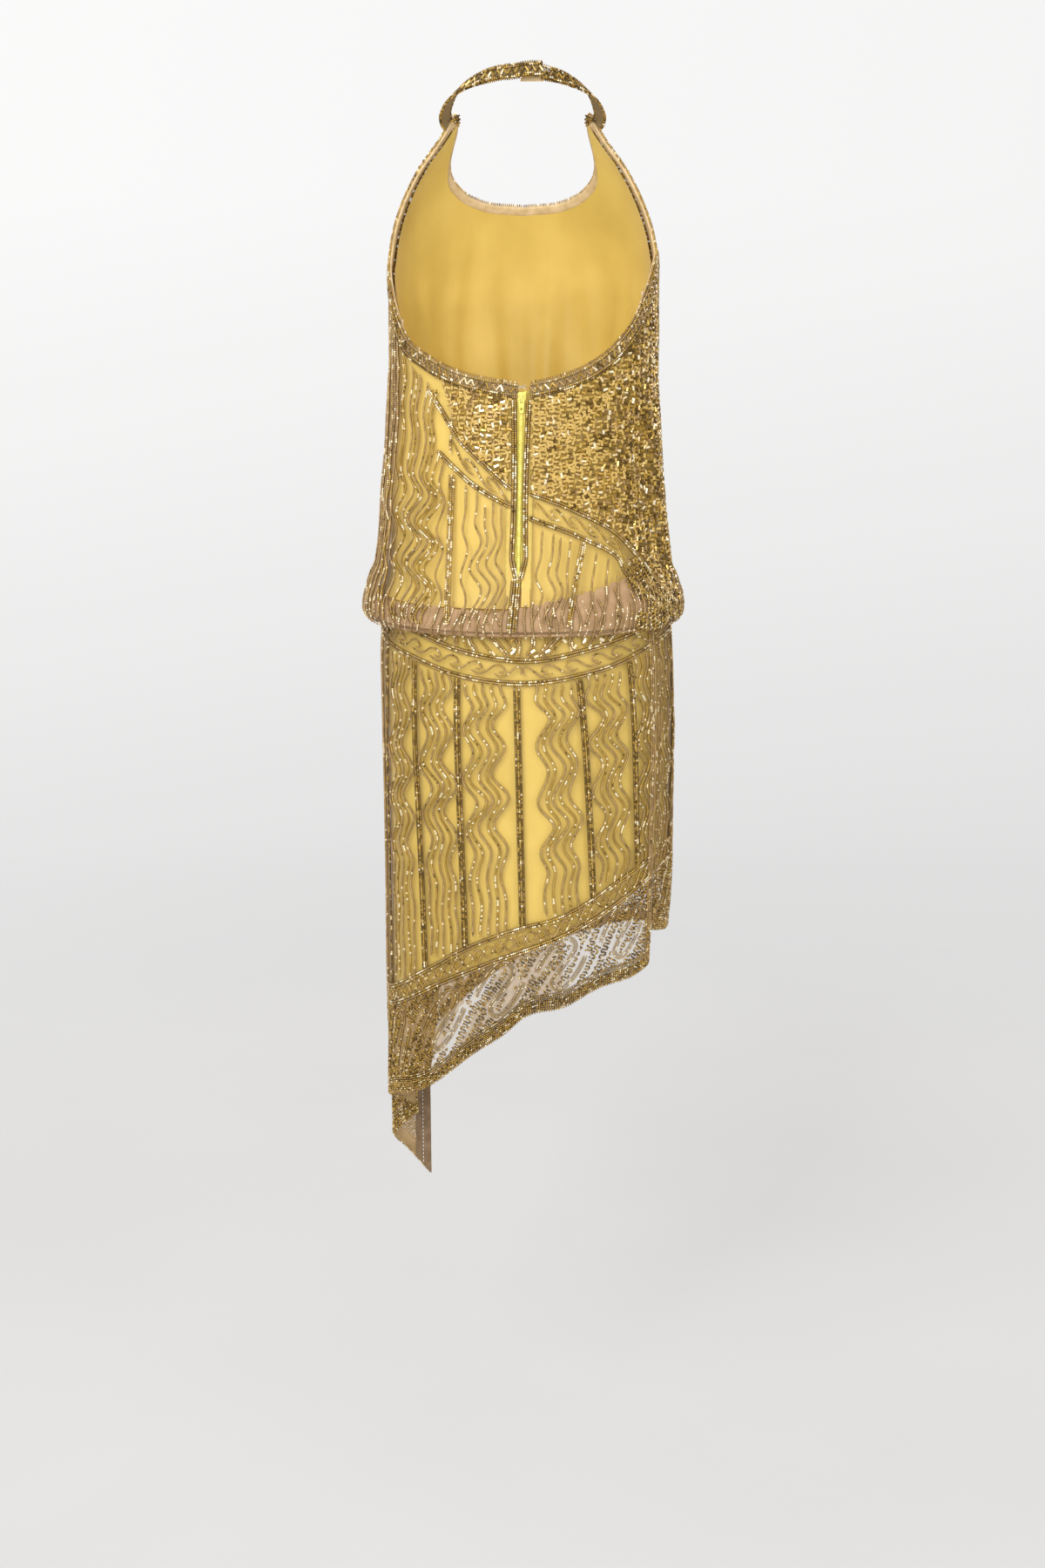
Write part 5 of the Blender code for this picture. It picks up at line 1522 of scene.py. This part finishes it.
def hem_zone(surface, chart_drop, hem, scrolls, from_degrees, to_degrees):
    """The sheer zone below the slanted band: double hooks, small meanders and a dense border."""
    work = Beadwork(plain=True)
    chart = Chart(surface, from_degrees, to_degrees, chart_drop)

    def zone_top(at):
        return band_low(at) + 0.0025

    def zone_low(at):
        return edge_drop(hem, np.degrees(at)) - HEM_BORDER - 0.002

    room, open_net = (Region(chart, zone_top, zone_low) for _ in range(2))
    for one in scrolls:
        place = math.radians(one.angle)
        top, bottom = float(zone_top(place)), float(zone_low(place))
        centre = (float(chart.place(place)), top + one.share * (bottom - top))
        for offset, mix, runs in ((0.0, MIX_GOLD, 3), (0.0028, MIX_PALE, 6)):
            reach, drop = hook_line(one, centre, offset)
            for part in stretches(room.holds(reach, drop), 6):
                line = (chart.angle(reach[part]), drop[part])
                lay(work, surface, *line, mix, pitch=0.0021, radius=0.00125, runs=runs, shade=0.0018)
        open_net.keep_off(*hook_line(one, centre, 0.0014), 0.0042)
    runs = meanders(open_net, -64, apart=0.0094, wave=0.0178, swing=1.74, pitch=0.0019)
    lay_runs(work, chart, runs, MIX_SCRIBBLE, radius=0.00145)

    degrees = np.linspace(from_degrees, to_degrees, 400)
    angle, low = np.radians(degrees), edge_drop(hem, degrees)
    double_row(work, surface, angle, low - HEM_BORDER, 10)
    for number, offset in enumerate((0.0124, 0.0102, 0.0080, 0.0058, 0.0036)):
        drop = low - offset + 0.0003 * np.sin(angle * 95 + 1.7 * number)
        lay(work, surface, angle, drop, MIX_HEM, pitch=0.0024, radius=0.00128, runs=6, under=SHADE)
    lay(work, surface, angle, low - 0.0013, MIX_HEM, radius=0.0012, lift=0.0016, runs=5)
    spikes(work, surface, angle, low, 1, 0.0026, 0.0006, 0.0005, (-0.3, 0.6), (0.0028, 0.0009), MIX_HEM)
    return work


def skirt_field(work, wavy, surface, from_degrees, to_degrees, bars, wave_sets, middle):
    """The yoke, the slanted band, the bars and the wavy rows of a panel."""
    angle = np.radians(np.linspace(from_degrees, to_degrees, 360))
    for line in (yoke_top, yoke_low, band_top, band_low):
        double_row(work, surface, angle, line(angle), 14, 0.0013)
    for low, high, way in ((from_degrees + 1, middle, 1), (middle, to_degrees - 1, -1)):
        vine(work, surface, between(yoke_top, yoke_low), 0.0082, low, high, way=way)
    lattice(work, surface, between(band_top, band_low), 0.0066, from_degrees + 1, to_degrees - 1)
    for top_degrees, low_degrees in bars:
        start, end = math.radians(top_degrees), math.radians(low_degrees)
        drop = np.linspace(float(yoke_low(start)) + 0.003, float(band_top(end)) - 0.002, 150)
        bar(work, surface, np.linspace(start, end, 150), drop)
    for waves in wave_sets:
        wave_lines(wavy, surface, waves, band_top, yoke_low)
    swirls(work, surface, from_degrees, to_degrees, middle)


def wave_set(left, right, top, count, phase, gap=0.0):
    """Waves that fill the space between two bars, less a bare gap in degrees at the right."""
    wide = (right[0] - left[0] - gap) * 0.00250
    middle = ((one + other - gap) / 2 for one, other in zip(left, right))
    return Waves(*middle, top, count, wide * 0.80, min(0.0070, wide * 0.20), 0.053, phase, 0.735, 0.83)


def skirt_back_beads():
    work, waves = Beadwork(), Beadwork()
    sets = [
        wave_set((-128, -128), (-112, -112), 0.585, 5, 0.4),
        wave_set((-112, -112), (-92, -92), 0.580, 5, 1.9),
        wave_set((-92, -92), (-78, -78), 0.577, 3, 0.9),
        wave_set((-68, -68), BARS[2], 0.575, 5, 0.2),
        wave_set(BARS[2], BARS[3], 0.583, 5, -0.4),
        wave_set(BARS[3], BARS[4], 0.592, 5, -0.9, gap=3.5),
        wave_set((1, 2), BARS[5], 0.588, 5, 2.9),
        wave_set(BARS[5], BARS[6], 0.580, 5, 2.2, gap=1.0),
        wave_set(BARS[6], (59, 59), 0.566, 4, 0.5),
    ]
    skirt_field(work, waves, skirt_back, -127.5, 59.2, BARS, sets, -2.0)
    for degrees in (-85, -82.4, -80.6, -78.6, -70.2, -68.6):
        low = float(band_top(math.radians(degrees))) - 0.002
        upright_row(work, skirt_back, degrees, low, MIX_TAUPE if degrees < -74 else MIX_BRONZE)
    for degrees in (56.0, 57.2, 58.4):
        upright_row(work, skirt_back, degrees, 0.900, MIX_TAUPE)
    return work, waves, hem_zone(skirt_back, 0.98, BACK_HEM, BACK_SCROLLS, -127.3, 59.0)


def skirt_front_beads():
    work = Beadwork(plain=True)
    ends = [(60, 60)] + FRONT_BARS + [(231, 231)]
    sets = [wave_set(*pair, 0.575, 5, 0.8 * number) for number, pair in enumerate(zip(ends[:-1], ends[1:]))]
    skirt_field(work, work, skirt, 60.0, 231.5, FRONT_BARS, sets, 146.0)
    for degrees in (60.6, 61.8, 63.0):
        upright_row(work, skirt, degrees, 0.860, MIX_TAUPE)
    return work, hem_zone(skirt, 0.90, FRONT_HEM, FRONT_SCROLLS, 60.2, 231.5)


# Stage, light and camera


def stage():
    turn = np.linspace(0, 2 * math.pi, 97)[:-1]
    radii = np.concatenate([[0.0005], np.linspace(0.12, FLOOR_RADIUS, 29)])
    points = [(r * math.cos(t), FLOOR_Y + r * math.sin(t), 0) for r in radii for t in turn]
    faces = quads(len(radii), len(turn), closed=True)
    tree = PAPER.node_tree
    where = add_node(tree, "TexCoord", {}).outputs["Object"]
    length = add_node(tree, "VectorMath", {0: where}, operation="LENGTH").outputs["Value"]
    fade = scaled(tree, length, (1.0, 3.3), (1.0, 0.0), "SMOOTHSTEP")
    tree.links.new(fade, shader_of(PAPER)["Alpha"])
    floor = mesh_object("studio_floor", points, faces.ravel(), np.full(len(faces), 4), [PAPER])
    floor.location = (0, 0, FLOOR_Z)


def scaled(tree, value, given, wanted, way="LINEAR"):
    """A value brought from one range to another."""
    ends = {"From Min": given[0], "From Max": given[1], "To Min": wanted[0], "To Max": wanted[1]}
    return add_node(tree, "MapRange", {"Value": value, **ends}, interpolation_type=way).outputs["Result"]


def room_tone(tree):
    """A pale room: lighter above than below, and a little darker to the sides."""
    where = add_node(tree, "TexCoord", {}).outputs["Generated"]
    apart = add_node(tree, "SeparateXYZ", {0: where}).outputs
    height = add_node(tree, "ValToRGB", {"Fac": scaled(tree, apart["Z"], (-1.0, 1.0), (0.0, 1.0))})
    set_stops(height, [(place, (tone, tone * 0.994, tone * 0.992)) for place, tone in ROOM_TONES])
    side = add_node(tree, "Math", {0: apart["X"]}, operation="ABSOLUTE").outputs[0]
    square = add_node(tree, "Math", {0: side, 1: 2.0}, operation="POWER").outputs[0]
    fall = scaled(tree, square, (0.06, 0.90), (1.0, 0.62), "SMOOTHSTEP")
    lean = scaled(tree, apart["X"], (-0.30, 0.30), (1.03, 0.965))
    level = add_node(tree, "Math", {0: fall, 1: lean}, operation="MULTIPLY")
    background = tree.nodes["Background"].inputs
    tree.links.new(height.outputs["Color"], background["Color"])
    tree.links.new(level.outputs[0], background["Strength"])


def softbox(name, place, target, size, power):
    light = bpy.data.lights.new(name, "AREA")
    light.shape = "RECTANGLE"
    light.size, light.size_y = size
    light.energy = power
    made = bpy.data.objects.new(name, light)
    made.location = place
    away = np.subtract(place, target)
    tilt = math.atan2(math.hypot(away[0], away[1]), away[2])
    made.rotation_euler = (tilt, 0, math.atan2(away[1], away[0]) + math.pi / 2)
    bpy.context.scene.collection.objects.link(made)


def light_and_camera():
    scene = bpy.context.scene
    scene.world = bpy.data.worlds.new("studio")
    scene.world.use_nodes = True
    room_tone(scene.world.node_tree)
    for box in SOFTBOXES:
        softbox(*box)
    camera = bpy.data.cameras.new("camera")
    camera.lens = 50
    camera.sensor_width = 36
    camera.sensor_fit = "AUTO"
    made = bpy.data.objects.new("camera", camera)
    made.location = CAMERA_PLACE
    made.rotation_euler = (math.radians(90 - CAMERA_DOWN), 0, 0)
    scene.collection.objects.link(made)
    scene.camera = made
    scene.view_settings.view_transform = "Standard"


def dress_nodes():
    """The frame's own small pieces take their finishes."""
    for finish_of, names in NODE_FINISHES:
        for name in names.split():
            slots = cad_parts[name].data.materials
            slots.clear()
            slots.append(finish_of)


def declare(piece, rests_on, with_pieces=()):
    """Reads the face areas of a sheet's mesh and lists what it rests on; nothing is declared with them."""
    mesh = piece.data
    area = np.empty(len(mesh.polygons))
    mesh.polygons.foreach_get("area", area)
    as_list(rests_on)
    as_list(with_pieces)


def main():
    stage()
    light_and_camera()
    dress_nodes()
    straps = ["strap_cloth_left", "strap_cloth_right"]
    front = (SIDE_SEAM, 360 - SIDE_SEAM)
    hung = [
        bodice_net("net_bodice_back_left", -SIDE_SEAM, -0.3, "bodice_back_left"),
        bodice_net("net_bodice_back_right", 0.3, SIDE_SEAM, "bodice_back_right"),
        bodice_net("net_bodice_front", *front, "bodice_front"),
        skirt_net("net_skirt_back", skirt_back, LEFT_SEAM, RIGHT_SEAM, BACK_HEM, "skirt_back", 1.3),
        skirt_net("net_skirt_front", skirt, RIGHT_SEAM, 360 + LEFT_SEAM, FRONT_HEM, "skirt_front", 1.6),
        bodice_lining(),
        skirt_lining(),
    ]
    hung += [band_cloth(f"band_{hand}", side, f"neckband_{hand}") for hand, side in HANDS]
    hung += [facing_cloth(f"facing_{hand}", side, f"neck_facing_{hand}") for hand, side in HANDS]
    sheets = [(piece, straps) for piece in hung]
    ends = {"left": STRAP_LAP, "right": [STRAP_UNDER]}
    surfaces = [strap_surface(ends[hand] + STRAP_STATIONS, side) for hand, side in HANDS]
    for (hand, _), surface in zip(HANDS, surfaces):
        sheets.append((strap_cloth(f"strap_cloth_{hand}", surface, f"strap_{hand}"), []))
    for name, low, high in (("left", -SIDE_SEAM, 0), ("right", 0, SIDE_SEAM), ("front", *front)):
        sheets.append((hem_strip(f"hem_{name}", low, high), ["net_bodice_front"]))
    allowance, stitches = corner_allowance()
    sheets.append((allowance, ["net_skirt_back"]))
    for hand, side in HANDS:
        sheets.append((zip_edge(f"zip_edge_{hand}", side), [f"zip_tape_{hand}"]))
    zip_teeth()

    back = bodice_back_beads()
    skirt_work, skirt_waves, skirt_hem = skirt_back_beads()
    front_work, front_hem = skirt_front_beads()
    beadwork = {
        "beads_bodice_back": back,
        "beads_bodice_front": bodice_front_beads(),
        "beads_neckband": neckband_beads(),
        "beads_strap": strap_beads(surfaces),
        "beads_skirt_back": skirt_work,
        "beads_skirt_waves": skirt_waves,
        "beads_hem_back": skirt_hem,
        "beads_skirt_front": front_work,
        "beads_hem_front": front_hem,
    }
    for name, work in beadwork.items():
        work.build(name, BEADS, "bead_band" if name in ("beads_neckband", "beads_strap") else "beaded_net")
    for sheet in sheets:
        declare(*sheet, [allowance, stitches] if sheet[0].name == "net_skirt_back" else [])


main()
